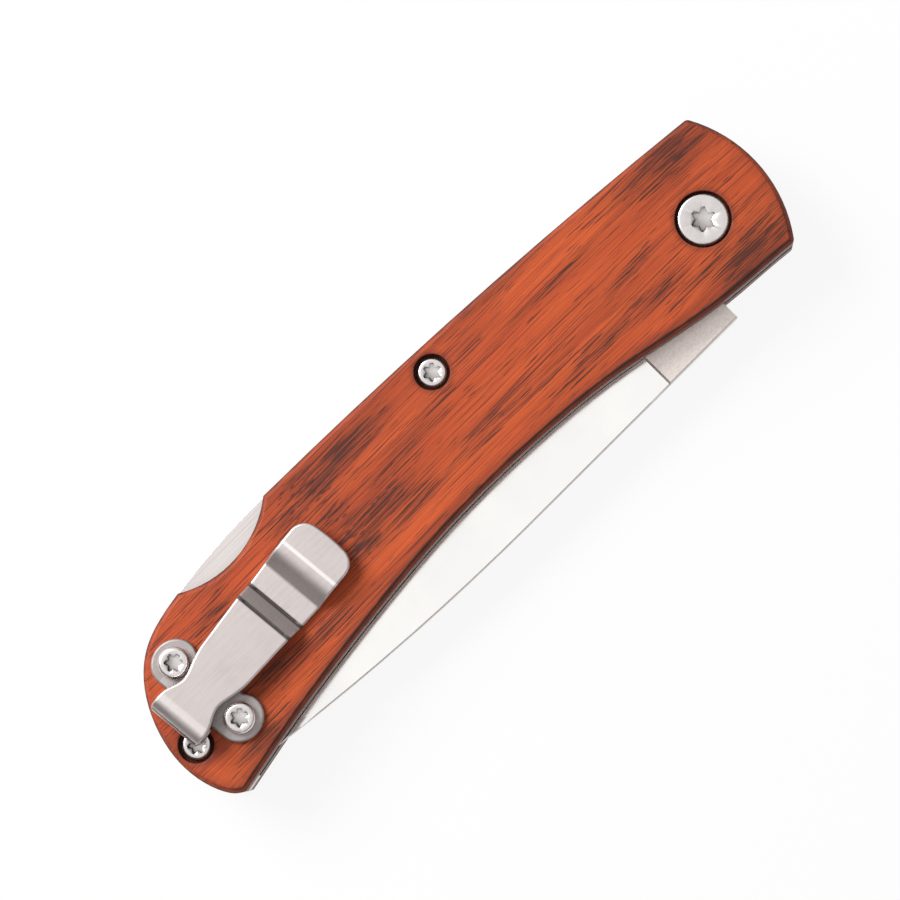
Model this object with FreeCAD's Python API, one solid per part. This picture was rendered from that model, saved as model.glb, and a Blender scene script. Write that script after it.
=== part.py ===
import FreeCAD, Part
import math
import os
from FreeCAD import Vector

# A lock-back folding knife, closed, in millimetres.
# X runs to the nose with the pivot, Y to the back with the lock bar, Z to the clip side.
# Z = 0 is the far scale's outer face, and X = Y = 0 is a point under the middle of the handle.

# Handle outline
HANDLE_LENGTH = 112.0         # butt to nose, knife closed
NOSE_TOP_SETBACK = 2.6        # nose corners behind the crown of the nose
NOSE_BOTTOM_SETBACK = 4.1
NOSE_TOP_HEIGHT = 9.05        # heights along the outline, from the X axis
NOSE_CROWN_HEIGHT = -0.4
NOSE_BOTTOM_HEIGHT = -12.9
BACK_CROWN_HEIGHT = 13.5
BACK_BULGE = 0.93             # how far the back bows out between nose and crown
BACK_CROWN_FROM_BUTT = 33.0
BELLY_WAIST_HEIGHT = -7.0
BELLY_BUTT_HEIGHT = -13.0
BELLY_BUTT_INSET = 3.7
CORNER_RADIUS = 0.8

# Handle thicknesses
SCALE_THICKNESS = 3.2
SCALE_CHAMFER = 0.55
LINER_THICKNESS = 1.2
BLADE_THICKNESS = 2.6
WASHER_THICKNESS = 0.2
FACE_CLEARANCE = 0.02         # blade to washer
LOCK_SIDE_CLEARANCE = 0.06    # lock bar and spring to liner

# Thumb notch in scales and liners
NOTCH_RADIUS = 15.3
NOTCH_DEPTH = 3.35            # below the crown of the back
NOTCH_FROM_BUTT = 23.7

# Pivot
PIVOT_FROM_NOSE = 10.6
PIVOT_HEIGHT = -2.1
PIVOT_BARREL_DIAMETER = 5.0
PIVOT_HEAD_DIAMETER = 7.1
PIVOT_HEAD_HEIGHT = 1.5
PIVOT_HEAD_ROUND = 0.45
PIVOT_SCREW_DIAMETER = 3.0
PIVOT_STAR = 3.35             # six-lobe size 15
PIVOT_RECESS_DEPTH = 1.0
PIVOT_COUNTERSINK = 3.7
PIVOT_HEAD_SINK = 0.2         # head top below the scale's face
PIVOT_HEAD_GAP = 0.3          # head to counterbore, each side
WASHER_DIAMETER = 11.0

# Small body screws, at the rocker and the butt
ROCKER_FROM_PIVOT = 40.3
ROCKER_BELOW_CROWN = 4.3      # below the crown of the back
BUTT_SCREW_INSET = 3.3
BUTT_SCREW_HEIGHT = -3.9
SLEEVE_DIAMETER = 4.0
SMALL_HEAD_DIAMETER = 4.1
SMALL_HEAD_HEIGHT = 1.4
SMALL_HEAD_ROUND = 0.7
SMALL_SCREW_DIAMETER = 2.2
SMALL_SCREW_REACH = 2.3       # length in the sleeve
SMALL_STAR = 2.4              # six-lobe size 8
SMALL_RECESS_DEPTH = 0.9
SMALL_COUNTERSINK = 2.6
SMALL_HEAD_SINK = 0.5
SMALL_HEAD_GAP = 0.42

# Fits, each side
HOLE_CLEARANCE = 0.05
TURNING_CLEARANCE = 0.03

# Blade, in its own open frame: x to the tip, y to the spine, from the pivot
SPINE_HEIGHT = 12.35
SHOULDER_FROM_PIVOT = 5.8
PLUNGE_FROM_PIVOT = 18.4
PLUNGE_RAMP = 0.3
SPINE_STRAIGHT = 26.0         # straight spine beyond the plunge line
EDGE_STRAIGHT = 27.6          # straight edge beyond the plunge line
EDGE_DEPTH = 6.3              # edge below the pivot
TIP_FROM_BUTT = 7.5           # folded tip to the butt end
TIP_DROP = 3.4                # tip below the spine's line
TIP_BLUNT = 0.45              # length taken off the sharp point
GROUND_SPINE = 1.9            # spine thickness at the plunge line and at the tip
GROUND_SPINE_AT_TIP = 0.8
BEVEL_SHOULDER = 0.5          # thickness where the sharpened bevel starts
BEVEL_HEIGHT = 0.7
EDGE_LAND = 0.1
BLADE_STATIONS = 12
TANG_RADIUS = 7.0
LOCK_NOTCH_BACK = 1.0         # lock notch's rear wall, ahead of the pivot
KICK_FROM_PLUNGE = 3.2        # kick that stops the folded blade on the lock bar
KICK_WIDTH = 1.3
KICK_SLOPE = 0.9
KICK_GAP = 0.2                # kick to the dropped bar
NICK_FROM_PIVOT = 46.0        # nail nick on the far side
NICK_BELOW_SPINE = 4.2
NICK_LENGTH = 13.0
NICK_WIDTH = 1.6
NICK_DEPTH = 0.5

# Lock bar and its leaf spring
LOCK_DROP = 1.2               # degrees that the bar turns to drop its hook
HOOK_GAP = 0.2                # hook to shoulder
HOOK_REAR_GAP = 0.3           # hook to the notch's rear wall
HOOK_RIDE = 0.12              # hook above the tang's round while it rides on it
HOOK_FLOOR_GAP = 0.14         # dropped hook to the notch's floor
BAR_TANG_GAP = 0.2            # dropped bar to the tang's round
BAR_BOSS_WALL = 1.55          # under the rocker hole
BAR_BOSS_LENGTH = 7.0
BAR_BOSS_SLOPE = 5.0
BAR_ARM_HEIGHT = 5.0          # rear arm, at the crown of the back
BAR_PROUD = 0.3               # stands out of the thumb notch
BAR_END_FROM_BUTT = 13.1
BAR_END_GAP = 0.7             # bar's end to spacer
SPRING_THICKNESS = 1.0
SPRING_REACH = 22.6           # rocker to the spring's tip
SPRING_ROOT_HEIGHT = 3.4
SPRING_ROOT_LENGTH = 5.6
SPRING_ROOT_CLEARANCE = 0.12
SPRING_TIP_GAP = 0.06
SPACER_TONGUE_BOTTOM = -0.6
SPACER_TIP_GAP = 1.5          # folded tip to spacer
DOWEL_DIAMETER = 2.0
DOWEL_INSET = 5.0
DOWEL_BELOW_SPRING = 1.9      # below the spring's root

# Pocket clip, in its own frame: x from the ears to the tip
CLIP_FROM_BUTT = 9.6          # ears' midpoint
CLIP_HEIGHT = 0.15
CLIP_TURN = 5.5               # degrees from the handle's length
CLIP_SHEET = 0.9
CLIP_EAR_SPACING = 11.55
CLIP_EAR_RADIUS = 3.1
CLIP_BASE_FRONT = 2.5         # base plate ahead of the screws
CLIP_FOLD_REACH = 6.7
CLIP_FOLD_HEIGHT = 4.2
CLIP_FOLD_FLAT = 0.125        # straight part between the fold's two bends
CLIP_FOLD_WIDTH = 8.4
CLIP_WAIST_BACK = 1.2         # waist behind the screws, narrow to let a driver past
CLIP_WAIST_WIDTH = 5.5
CLIP_ARM_START = 4.6          # full arm ahead of the screws
CLIP_ARM_WIDTH = 8.2
CLIP_ARM_SHIFT = 0.2          # arm's middle line towards the back, from the screws' middle
CLIP_TIP_WIDTH = 9.6
CLIP_TIP_RADIUS = 2.5
CLIP_TIP_CROWN = 0.5
CLIP_LENGTH = 26.4            # ears to tip
CLIP_STEP_RUN = 2.1           # lengths along the clip: the arm's step down to the scale,
CLIP_PAD_RUN = 3.8            # the pad that grips on the scale,
CLIP_LIFT_RUN = 2.4           # the slope up from it,
CLIP_TIP_RUN = 5.8            # and the raised tip
CLIP_ARM_SAG = 1.1            # arm lower at the step than at the fold
CLIP_TIP_LIFT = 1.7           # underside of the raised tip above the scale
CLIP_REST_GAP = 0.05
CLIP_BEND = 0.9               # centreline radius of the step's bends
CLIP_PAD_BEND = 1.4
CLIP_TIP_BEND = 3.2
CLIP_CREASE = 0.4             # width of the creases at the step
CLIP_CREASE_LENGTH = 7.0
CLIP_SCREW_DIAMETER = 2.4
CLIP_SCREW_HEAD_DIAMETER = 4.4
CLIP_SCREW_HEAD_HEIGHT = 1.4
CLIP_SCREW_HEAD_ROUND = 0.65

SAME_PLACE = 1e-3             # points closer than this are one point

# Worked-out places
nose_x = HANDLE_LENGTH / 2
butt_x = -HANDLE_LENGTH / 2
far_liner_z = SCALE_THICKNESS
gap_z = far_liner_z + LINER_THICKNESS
liner_gap = BLADE_THICKNESS + 2 * (WASHER_THICKNESS + FACE_CLEARANCE)
near_liner_z = gap_z + liner_gap
near_scale_z = near_liner_z + LINER_THICKNESS
handle_top = near_scale_z + SCALE_THICKNESS
middle_z = handle_top / 2
pivot_seat = handle_top - PIVOT_HEAD_SINK - PIVOT_HEAD_HEIGHT
small_seat = handle_top - SMALL_HEAD_SINK - SMALL_HEAD_HEIGHT
pivot = Vector(nose_x - PIVOT_FROM_NOSE, PIVOT_HEIGHT, 0)
rocker = Vector(pivot.x - ROCKER_FROM_PIVOT, BACK_CROWN_HEIGHT - ROCKER_BELOW_CROWN, 0)
butt_screw = Vector(butt_x + BUTT_SCREW_INSET, BUTT_SCREW_HEIGHT, 0)
dowel = Vector(butt_x + DOWEL_INSET, SPRING_ROOT_HEIGHT - DOWEL_BELOW_SPRING, 0)
nose_top = Vector(nose_x - NOSE_TOP_SETBACK, NOSE_TOP_HEIGHT, 0)
nose_crown = Vector(nose_x, NOSE_CROWN_HEIGHT, 0)
nose_bottom = Vector(nose_x - NOSE_BOTTOM_SETBACK, NOSE_BOTTOM_HEIGHT, 0)
back_crown = Vector(butt_x + BACK_CROWN_FROM_BUTT, BACK_CROWN_HEIGHT, 0)
belly_butt = Vector(butt_x + BELLY_BUTT_INSET, BELLY_BUTT_HEIGHT, 0)
clip_frame = FreeCAD.Placement(
    Vector(butt_x + CLIP_FROM_BUTT, CLIP_HEIGHT, handle_top),
    FreeCAD.Rotation(Vector(0, 0, 1), CLIP_TURN),
)
clip_lift_end = CLIP_LENGTH - CLIP_TIP_RUN
clip_pad_end = clip_lift_end - CLIP_LIFT_RUN
clip_step_end = clip_pad_end - CLIP_PAD_RUN
clip_step_start = clip_step_end - CLIP_STEP_RUN
ear_y = CLIP_EAR_SPACING / 2
ears = [clip_frame.multVec(Vector(0, side * ear_y, 0)) for side in (1, -1)]


# The lock, as heights above the pivot with the blade open
def bar_drop(ahead_of_pivot):
    """How far the bar sinks here when its hook drops."""
    return (ROCKER_FROM_PIVOT + ahead_of_pivot) * math.sin(math.radians(LOCK_DROP))


hook_start = LOCK_NOTCH_BACK + HOOK_REAR_GAP
hook_end = SHOULDER_FROM_PIVOT - HOOK_GAP
hook_height = math.sqrt((TANG_RADIUS + HOOK_RIDE) ** 2 - hook_start ** 2)
bar_height = TANG_RADIUS + BAR_TANG_GAP + bar_drop(0)
notch_floor = hook_height - bar_drop(hook_end) - HOOK_FLOOR_GAP
kick_x = PLUNGE_FROM_PIVOT - KICK_FROM_PLUNGE
kick_height = bar_height - bar_drop(KICK_WIDTH / 2 - kick_x) - KICK_GAP


# Helpers

def line(start, end):
    return Part.LineSegment(start, end).toShape()


def arc(start, through, end):
    return Part.Arc(start, through, end).toShape()


def spline(points, start_tangent, end_tangent):
    curve = Part.BSplineCurve()
    curve.interpolate(Points=points, InitialTangent=start_tangent, FinalTangent=end_tangent)
    return curve.toShape()


def polygon(points):
    return Part.makePolygon(points + points[:1])


def prism(wire, bottom, height):
    face = Part.Face(wire)
    face.translate(Vector(0, 0, bottom))
    return face.extrude(Vector(0, 0, height))


def rod(place, diameter, bottom, top):
    return Part.makeCylinder(diameter / 2, top - bottom, Vector(place.x, place.y, bottom))


def ring(place, outer, inner, bottom, top):
    return rod(place, outer, bottom, top).cut(rod(place, inner, bottom, top))


def box(x_low, x_high, y_low, y_high, z_low, z_high):
    return Part.makeBox(x_high - x_low, y_high - y_low, z_high - z_low, Vector(x_low, y_low, z_low))


def upright_edges(solid, corners):
    found = []
    for edge in solid.Edges:
        ends = [vertex.Point for vertex in edge.Vertexes]
        if len(ends) < 2 or abs(ends[0].z - ends[1].z) < SAME_PLACE:
            continue
        if any(math.hypot(end.x - c.x, end.y - c.y) < SAME_PLACE for end in ends for c in corners):
            found.append(edge)
    return found


def mirror_to_far_side(shape):
    """The same piece on the other side of the handle's middle plane."""
    return shape.mirror(Vector(0, 0, middle_z), Vector(0, 0, 1))


# Handle plates

def back_bulge_point():
    chord = nose_top - back_crown
    outward = Vector(-chord.y, chord.x, 0).normalize()
    return (nose_top + back_crown) * 0.5 + outward * BACK_BULGE


def belly_point(share_of_length, share_of_flare):
    """A point between the waist and one end of the belly, where the flare is 1."""
    end_height = NOSE_BOTTOM_HEIGHT if share_of_length > 0 else BELLY_BUTT_HEIGHT
    height = BELLY_WAIST_HEIGHT + (end_height - BELLY_WAIST_HEIGHT) * share_of_flare
    return Vector(share_of_length * nose_x, height, 0)


def butt_point(share_of_inset, share_of_height):
    """A point on the round of the butt, towards the back's crown or, below 0, the belly's corner."""
    corner = back_crown if share_of_height > 0 else belly_butt
    return Vector(butt_x + share_of_inset * (corner.x - butt_x), abs(share_of_height) * corner.y, 0)


def outline():
    belly_shares = [(-0.75, 0.67), (-0.46, 0.28), (-0.14, 0.02), (0.14, 0.04), (0.43, 0.33), (0.71, 0.82)]
    belly = [belly_butt] + [belly_point(*share) for share in belly_shares] + [nose_bottom]
    butt_shares = [(0.47, 0.91), (0.215, 0.72), (0.103, 0.45), (0.027, 0.07), (0.0, -0.32), (0.46, -0.865)]
    butt = [back_crown] + [butt_point(*share) for share in butt_shares] + [belly_butt]
    leaves_butt = Vector(1, 0.2, 0)
    meets_nose = Vector(1, -0.12, 0)
    leaves_crown = Vector(-1, 0.02, 0)
    meets_belly = Vector(0.9, -0.35, 0)
    return Part.Wire([
        spline(belly, leaves_butt, meets_nose),
        arc(nose_bottom, nose_crown, nose_top),
        arc(nose_top, back_bulge_point(), back_crown),
        spline(butt, leaves_crown, meets_belly),
    ])


def handle_plate(bottom, thickness):
    plate = prism(outline(), bottom, thickness)
    notch = Vector(butt_x + NOTCH_FROM_BUTT, BACK_CROWN_HEIGHT - NOTCH_DEPTH + NOTCH_RADIUS, 0)
    plate = plate.cut(rod(notch, 2 * NOTCH_RADIUS, bottom, bottom + thickness))
    return plate.makeFillet(CORNER_RADIUS, upright_edges(plate, [nose_top, nose_bottom]))


def chamfer_top(plate):
    top = max(plate.Faces, key=lambda face: face.CenterOfMass.z)
    return plate.makeChamfer(SCALE_CHAMFER, top.OuterWire.Edges)


def make_liner():
    bottom = near_liner_z
    top = near_liner_z + LINER_THICKNESS
    liner = handle_plate(bottom, LINER_THICKNESS)
    liner = liner.cut(rod(pivot, PIVOT_BARREL_DIAMETER + 2 * HOLE_CLEARANCE, bottom, top))
    for place in (rocker, butt_screw):
        liner = liner.cut(rod(place, SLEEVE_DIAMETER + 2 * HOLE_CLEARANCE, bottom, top))
    return liner.cut(rod(dowel, DOWEL_DIAMETER + 2 * HOLE_CLEARANCE, bottom, top))


def make_scale():
    bottom = near_scale_z
    scale = chamfer_top(handle_plate(bottom, SCALE_THICKNESS))
    scale = scale.cut(rod(pivot, PIVOT_BARREL_DIAMETER + 2 * HOLE_CLEARANCE, bottom, handle_top))
    scale = scale.cut(rod(pivot, PIVOT_HEAD_DIAMETER + 2 * PIVOT_HEAD_GAP, pivot_seat, handle_top))
    for place in (rocker, butt_screw):
        scale = scale.cut(rod(place, SMALL_SCREW_DIAMETER + 2 * HOLE_CLEARANCE, bottom, handle_top))
        scale = scale.cut(rod(place, SMALL_HEAD_DIAMETER + 2 * SMALL_HEAD_GAP, small_seat, handle_top))
    return scale


def drill_for_clip(plate, bottom, top):
    for ear in ears:
        plate = plate.cut(rod(ear, CLIP_SCREW_DIAMETER + 2 * HOLE_CLEARANCE, bottom, top))
    return plate


# Screws, sleeves and washers, built on the clip side

def star_wire(across):
    """Lobes joined by hollows, as on a six-lobe driver."""
    lobes = 6
    step = 2 * math.pi / lobes
    lobe_half = step * 0.15
    lobe_crown = across / 2
    lobe_shoulder = lobe_crown * 0.955
    hollow = lobe_crown * 0.72

    def at(radius, angle):
        return Vector(radius * math.cos(angle), radius * math.sin(angle), 0)

    edges = []
    for lobe in range(lobes):
        middle = lobe * step
        start = at(lobe_shoulder, middle - lobe_half)
        end = at(lobe_shoulder, middle + lobe_half)
        edges.append(arc(start, at(lobe_crown, middle), end))
        next_start = at(lobe_shoulder, middle + step - lobe_half)
        edges.append(arc(end, at(hollow, middle + step / 2), next_start))
    return Part.Wire(edges)


def star_screw(place, seat, head_diameter, head_height, rim_radius, star, recess, countersink, shank, reach):
    """A screw with its head's underside on the seat and its shank reaching down from it."""
    head = Part.makeCylinder(head_diameter / 2, head_height, Vector(0, 0, 0))
    rim = [edge for edge in head.Edges if edge.BoundBox.ZMin > head_height - SAME_PLACE]
    head = head.makeFillet(rim_radius, rim)
    head = head.cut(prism(star_wire(star), head_height - recess, recess))
    cone_floor = star * 0.8
    cone_depth = (countersink - cone_floor) / 2
    cone = Part.makeCone(cone_floor / 2, countersink / 2, cone_depth, Vector(0, 0, head_height - cone_depth))
    head = head.cut(cone)
    screw = head.fuse(Part.makeCylinder(shank / 2, reach, Vector(0, 0, -reach))).removeSplitter()
    screw.translate(Vector(place.x, place.y, seat))
    return screw


def make_small_screw(place):
    reach = small_seat - near_scale_z + SMALL_SCREW_REACH
    return star_screw(place, small_seat, SMALL_HEAD_DIAMETER, SMALL_HEAD_HEIGHT, SMALL_HEAD_ROUND,
                      SMALL_STAR, SMALL_RECESS_DEPTH, SMALL_COUNTERSINK, SMALL_SCREW_DIAMETER, reach)


def make_sleeve(place):
    bore = SMALL_SCREW_DIAMETER + 2 * TURNING_CLEARANCE
    return ring(place, SLEEVE_DIAMETER, bore, far_liner_z, near_scale_z)


def make_clip_screw(ear):
    seat = handle_top + CLIP_SHEET
    reach = seat - near_liner_z
    return star_screw(ear, seat, CLIP_SCREW_HEAD_DIAMETER, CLIP_SCREW_HEAD_HEIGHT, CLIP_SCREW_HEAD_ROUND,
                      SMALL_STAR, SMALL_RECESS_DEPTH, SMALL_COUNTERSINK, CLIP_SCREW_DIAMETER, reach)


def make_pivot_screw():
    reach = pivot_seat - gap_z
    return star_screw(pivot, pivot_seat, PIVOT_HEAD_DIAMETER, PIVOT_HEAD_HEIGHT, PIVOT_HEAD_ROUND,
                      PIVOT_STAR, PIVOT_RECESS_DEPTH, PIVOT_COUNTERSINK, PIVOT_SCREW_DIAMETER, reach)


def make_pivot_barrel():
    """Headed like the screw, on the far side, and bored for it from the clip side."""
    length = 2 * (pivot_seat - middle_z) - HOLE_CLEARANCE
    barrel = star_screw(pivot, pivot_seat, PIVOT_HEAD_DIAMETER, PIVOT_HEAD_HEIGHT, PIVOT_HEAD_ROUND,
                        PIVOT_STAR, PIVOT_RECESS_DEPTH, PIVOT_COUNTERSINK, PIVOT_BARREL_DIAMETER, length)
    bore = PIVOT_SCREW_DIAMETER + 2 * TURNING_CLEARANCE
    return mirror_to_far_side(barrel).cut(rod(pivot, bore, far_liner_z, handle_top))


def make_washer():
    bore = PIVOT_BARREL_DIAMETER + 2 * HOLE_CLEARANCE
    return ring(pivot, WASHER_DIAMETER, bore, near_liner_z - WASHER_THICKNESS, near_liner_z)


# Blade, made open and then folded

tip_x = pivot.x - (butt_x + TIP_FROM_BUTT)


def arc_sag(along, run, drop):
    """Drop of a round that starts level and falls by drop over run."""
    if along <= 0:
        return 0.0
    radius = (run * run + drop * drop) / (2 * drop)
    return radius - math.sqrt(radius * radius - along * along)


def spine_at(x):
    start = PLUNGE_FROM_PIVOT + SPINE_STRAIGHT
    return SPINE_HEIGHT - arc_sag(x - start, tip_x - start, TIP_DROP)


def edge_at(x):
    start = PLUNGE_FROM_PIVOT + EDGE_STRAIGHT
    return -EDGE_DEPTH + arc_sag(x - start, tip_x - start, SPINE_HEIGHT - TIP_DROP + EDGE_DEPTH)


def blade_section(x, spine, shoulder, land):
    """Six corners across the blade: spine, start of the sharpened bevel, and edge."""
    top = spine_at(x)
    bottom = edge_at(x)
    most_at_tip = 0.4 * (top - bottom)
    bevel = bottom + min(BEVEL_HEIGHT, most_at_tip)
    right = [(top, spine / 2), (bevel, shoulder / 2), (bottom, land / 2)]
    left = [(y, -z) for y, z in reversed(right)]
    return polygon([Vector(x, y, z) for y, z in right + left])


def ground_spine_at(x):
    share = (x - PLUNGE_FROM_PIVOT) / (tip_x - PLUNGE_FROM_PIVOT)
    return GROUND_SPINE + (GROUND_SPINE_AT_TIP - GROUND_SPINE) * share


def ground_section(x):
    spine = ground_spine_at(x)
    return blade_section(x, spine, min(BEVEL_SHOULDER, spine), EDGE_LAND)


def tang_wire():
    """The tang's lower flat is as deep as the lock notch, so the hook drops beside it when folded too."""
    notch_top = math.sqrt(TANG_RADIUS ** 2 - LOCK_NOTCH_BACK ** 2)
    flat_start = -math.sqrt(TANG_RADIUS ** 2 - notch_floor ** 2)
    half = KICK_WIDTH / 2
    corners = [
        (flat_start, -notch_floor),
        (kick_x - half - KICK_SLOPE, -notch_floor),
        (kick_x - half, -kick_height),
        (kick_x + half, -kick_height),
        (kick_x + half + KICK_SLOPE, -notch_floor),
        (PLUNGE_FROM_PIVOT, -EDGE_DEPTH),
        (PLUNGE_FROM_PIVOT, SPINE_HEIGHT),
        (SHOULDER_FROM_PIVOT, SPINE_HEIGHT),
        (SHOULDER_FROM_PIVOT, notch_floor),
        (LOCK_NOTCH_BACK, notch_floor),
        (LOCK_NOTCH_BACK, notch_top),
    ]
    points = [Vector(x, y, 0) for x, y in corners]
    edges = [line(a, b) for a, b in zip(points, points[1:])]
    edges.append(arc(points[-1], Vector(-TANG_RADIUS, 0, 0), points[0]))
    return Part.Wire(edges)


def nail_nick():
    """A shallow groove along the spine, cut by a wheel that dips into the far face."""
    radius = (NICK_LENGTH ** 2 / 4 + NICK_DEPTH ** 2) / (2 * NICK_DEPTH)
    spine = spine_at(NICK_FROM_PIVOT)
    share = NICK_BELOW_SPINE / (spine - edge_at(NICK_FROM_PIVOT) - BEVEL_HEIGHT)
    face = (ground_spine_at(NICK_FROM_PIVOT) * (1 - share) + BEVEL_SHOULDER * share) / 2
    bottom = spine - NICK_BELOW_SPINE - NICK_WIDTH / 2
    centre = Vector(NICK_FROM_PIVOT, bottom, NICK_DEPTH - face - radius)
    return Part.makeCylinder(radius, NICK_WIDTH, centre, Vector(0, 1, 0))


def make_blade():
    tang = prism(tang_wire(), -BLADE_THICKNESS / 2, BLADE_THICKNESS)
    ramp_end = PLUNGE_FROM_PIVOT + PLUNGE_RAMP
    full = blade_section(PLUNGE_FROM_PIVOT, BLADE_THICKNESS, BLADE_THICKNESS, BLADE_THICKNESS)
    ramp = Part.makeLoft([full, ground_section(ramp_end)], True, True)
    last = tip_x - TIP_BLUNT
    sections = []
    for station in range(BLADE_STATIONS + 1):
        share = math.sin(math.pi / 2 * station / BLADE_STATIONS)
        sections.append(ground_section(ramp_end + (last - ramp_end) * share))
    ground = Part.makeLoft(sections, True, False)
    blade = tang.fuse([ramp, ground]).removeSplitter()
    blade = blade.cut(nail_nick())
    bore = PIVOT_BARREL_DIAMETER + 2 * TURNING_CLEARANCE
    blade = blade.cut(rod(Vector(0, 0, 0), bore, -BLADE_THICKNESS, BLADE_THICKNESS))
    blade.rotate(Vector(0, 0, 0), Vector(0, 0, 1), 180)
    blade.translate(Vector(pivot.x, pivot.y, middle_z))
    return blade


# Lock bar, spring and spacer

hook_front = pivot.x + hook_end
hook_rear = pivot.x + hook_start
hook_bottom = pivot.y + hook_height
bar_underside = pivot.y + bar_height
bar_end = butt_x + BAR_END_FROM_BUTT
arm_underside = BACK_CROWN_HEIGHT - BAR_ARM_HEIGHT
lock_width = liner_gap - 2 * LOCK_SIDE_CLEARANCE
lock_bottom = gap_z + LOCK_SIDE_CLEARANCE


def make_lock_bar():
    """The handle's back, tilted to stand proud in the thumb notch, over the bar's stepped underside."""
    body = prism(outline(), lock_bottom, lock_width)
    notch_run = hook_front - (butt_x + NOTCH_FROM_BUTT)
    body.rotate(Vector(hook_front, NOSE_TOP_HEIGHT, 0), Vector(0, 0, -1),
                math.degrees(math.asin(BAR_PROUD / notch_run)))
    boss_bottom = rocker.y - SLEEVE_DIAMETER / 2 - BAR_BOSS_WALL
    boss_front = rocker.x + BAR_BOSS_LENGTH / 2
    boss_rear = rocker.x - BAR_BOSS_LENGTH / 2
    roof = BACK_CROWN_HEIGHT + 2 * BAR_PROUD
    corners = [
        (hook_front, roof),
        (hook_front, hook_bottom),
        (hook_rear, hook_bottom),
        (hook_rear, bar_underside),
        (boss_front + BAR_BOSS_SLOPE, bar_underside),
        (boss_front, boss_bottom),
        (boss_rear, boss_bottom),
        (boss_rear - BAR_BOSS_SLOPE, arm_underside),
        (bar_end, arm_underside),
        (bar_end, roof),
    ]
    band = prism(polygon([Vector(x, y, 0) for x, y in corners]), lock_bottom, lock_width)
    bore = SLEEVE_DIAMETER + 2 * TURNING_CLEARANCE
    return band.common(body).cut(rod(rocker, bore, gap_z, near_liner_z)).removeSplitter()


spring_tip_x = rocker.x - SPRING_REACH
spring_root_end = bar_end - BAR_END_GAP - SPRING_ROOT_LENGTH
spring_tip_height = arm_underside - SPRING_TIP_GAP - SPRING_THICKNESS / 2


def make_lock_spring():
    """A leaf: level in the spacer's slot, then rising to a round tip under the bar's arm."""
    root = Vector(spring_root_end, SPRING_ROOT_HEIGHT, 0)
    knee = Vector(bar_end, SPRING_ROOT_HEIGHT, 0)
    tip = Vector(spring_tip_x, spring_tip_height, 0)
    half = SPRING_THICKNESS / 2
    rise = (tip - knee).normalize()
    normal = Vector(-rise.y, rise.x, 0)
    tilt = math.atan2(rise.y, rise.x) / 2
    knee_normal = Vector(-math.sin(tilt), math.cos(tilt), 0) * (1 / math.cos(tilt))
    up = Vector(0, half, 0)
    points = [
        root + up,
        root - up,
        knee - knee_normal * half,
        tip - normal * half,
        tip + normal * half,
        knee + knee_normal * half,
    ]
    edges = [line(a, b) for a, b in zip(points, points[1:] + points[:1])]
    edges[3] = arc(points[3], tip + rise * half, points[4])
    return prism(Part.Wire(edges), lock_bottom, lock_width)


def make_butt_spacer():
    front = bar_end - BAR_END_GAP
    block_front = butt_x + TIP_FROM_BUTT - SPACER_TIP_GAP
    reach = HANDLE_LENGTH
    tongue = box(butt_x - reach, front, SPACER_TONGUE_BOTTOM, reach, gap_z, near_liner_z)
    block = box(butt_x - reach, block_front, -reach, reach, gap_z, near_liner_z)
    spacer = prism(outline(), gap_z, liner_gap).common(tongue.fuse(block))
    slot_half = SPRING_THICKNESS / 2 + SPRING_ROOT_CLEARANCE
    slot = box(spring_root_end - SPRING_ROOT_CLEARANCE, front, SPRING_ROOT_HEIGHT - slot_half,
               SPRING_ROOT_HEIGHT + slot_half, gap_z, near_liner_z)
    spacer = spacer.cut(slot)
    spacer = spacer.cut(rod(butt_screw, SLEEVE_DIAMETER + 2 * HOLE_CLEARANCE, gap_z, near_liner_z))
    return spacer.cut(rod(dowel, DOWEL_DIAMETER + 2 * HOLE_CLEARANCE, gap_z, near_liner_z)).removeSplitter()


# Pocket clip

def bent_strip(stations, thickness, width):
    """A sheet of even thickness along (x, z, bend radius) stations, and its bends on the outer side."""
    points = [Vector(x, 0, z) for x, z, bend in stations]
    runs = [(b - a).normalize() for a, b in zip(points, points[1:])]
    normals = [Vector(-run.z, 0, run.x) for run in runs]

    def side(offset):
        edges = []
        middles = []
        here = points[0] + normals[0] * offset
        for i in range(1, len(points) - 1):
            turn = runs[i - 1].z * runs[i].x - runs[i - 1].x * runs[i].z
            left = -1 if turn > 0 else 1
            angle = runs[i - 1].getAngle(runs[i])
            bend = stations[i][2]
            reach = bend * math.tan(angle / 2)
            start = points[i] - runs[i - 1] * reach
            end = points[i] + runs[i] * reach
            centre = start + normals[i - 1] * (bend * left)
            middle = centre + (points[i] - centre).normalize() * (bend - left * offset)
            arc_start = start + normals[i - 1] * offset
            arc_end = end + normals[i] * offset
            edges.append(line(here, arc_start))
            edges.append(arc(arc_start, middle, arc_end))
            middles.append(middle)
            here = arc_end
        edges.append(line(here, points[-1] + normals[-1] * offset))
        return edges, middles

    outer, outer_bends = side(thickness / 2)
    inner, inner_bends = side(-thickness / 2)
    caps = [line(points[0] - normals[0] * thickness / 2, points[0] + normals[0] * thickness / 2),
            line(points[-1] - normals[-1] * thickness / 2, points[-1] + normals[-1] * thickness / 2)]
    wire = Part.Wire(Part.__sortEdges__(outer + inner + caps))
    strip = Part.Face(wire).extrude(Vector(0, width, 0))
    strip.translate(Vector(0, -width / 2, 0))
    return strip, outer_bends


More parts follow.
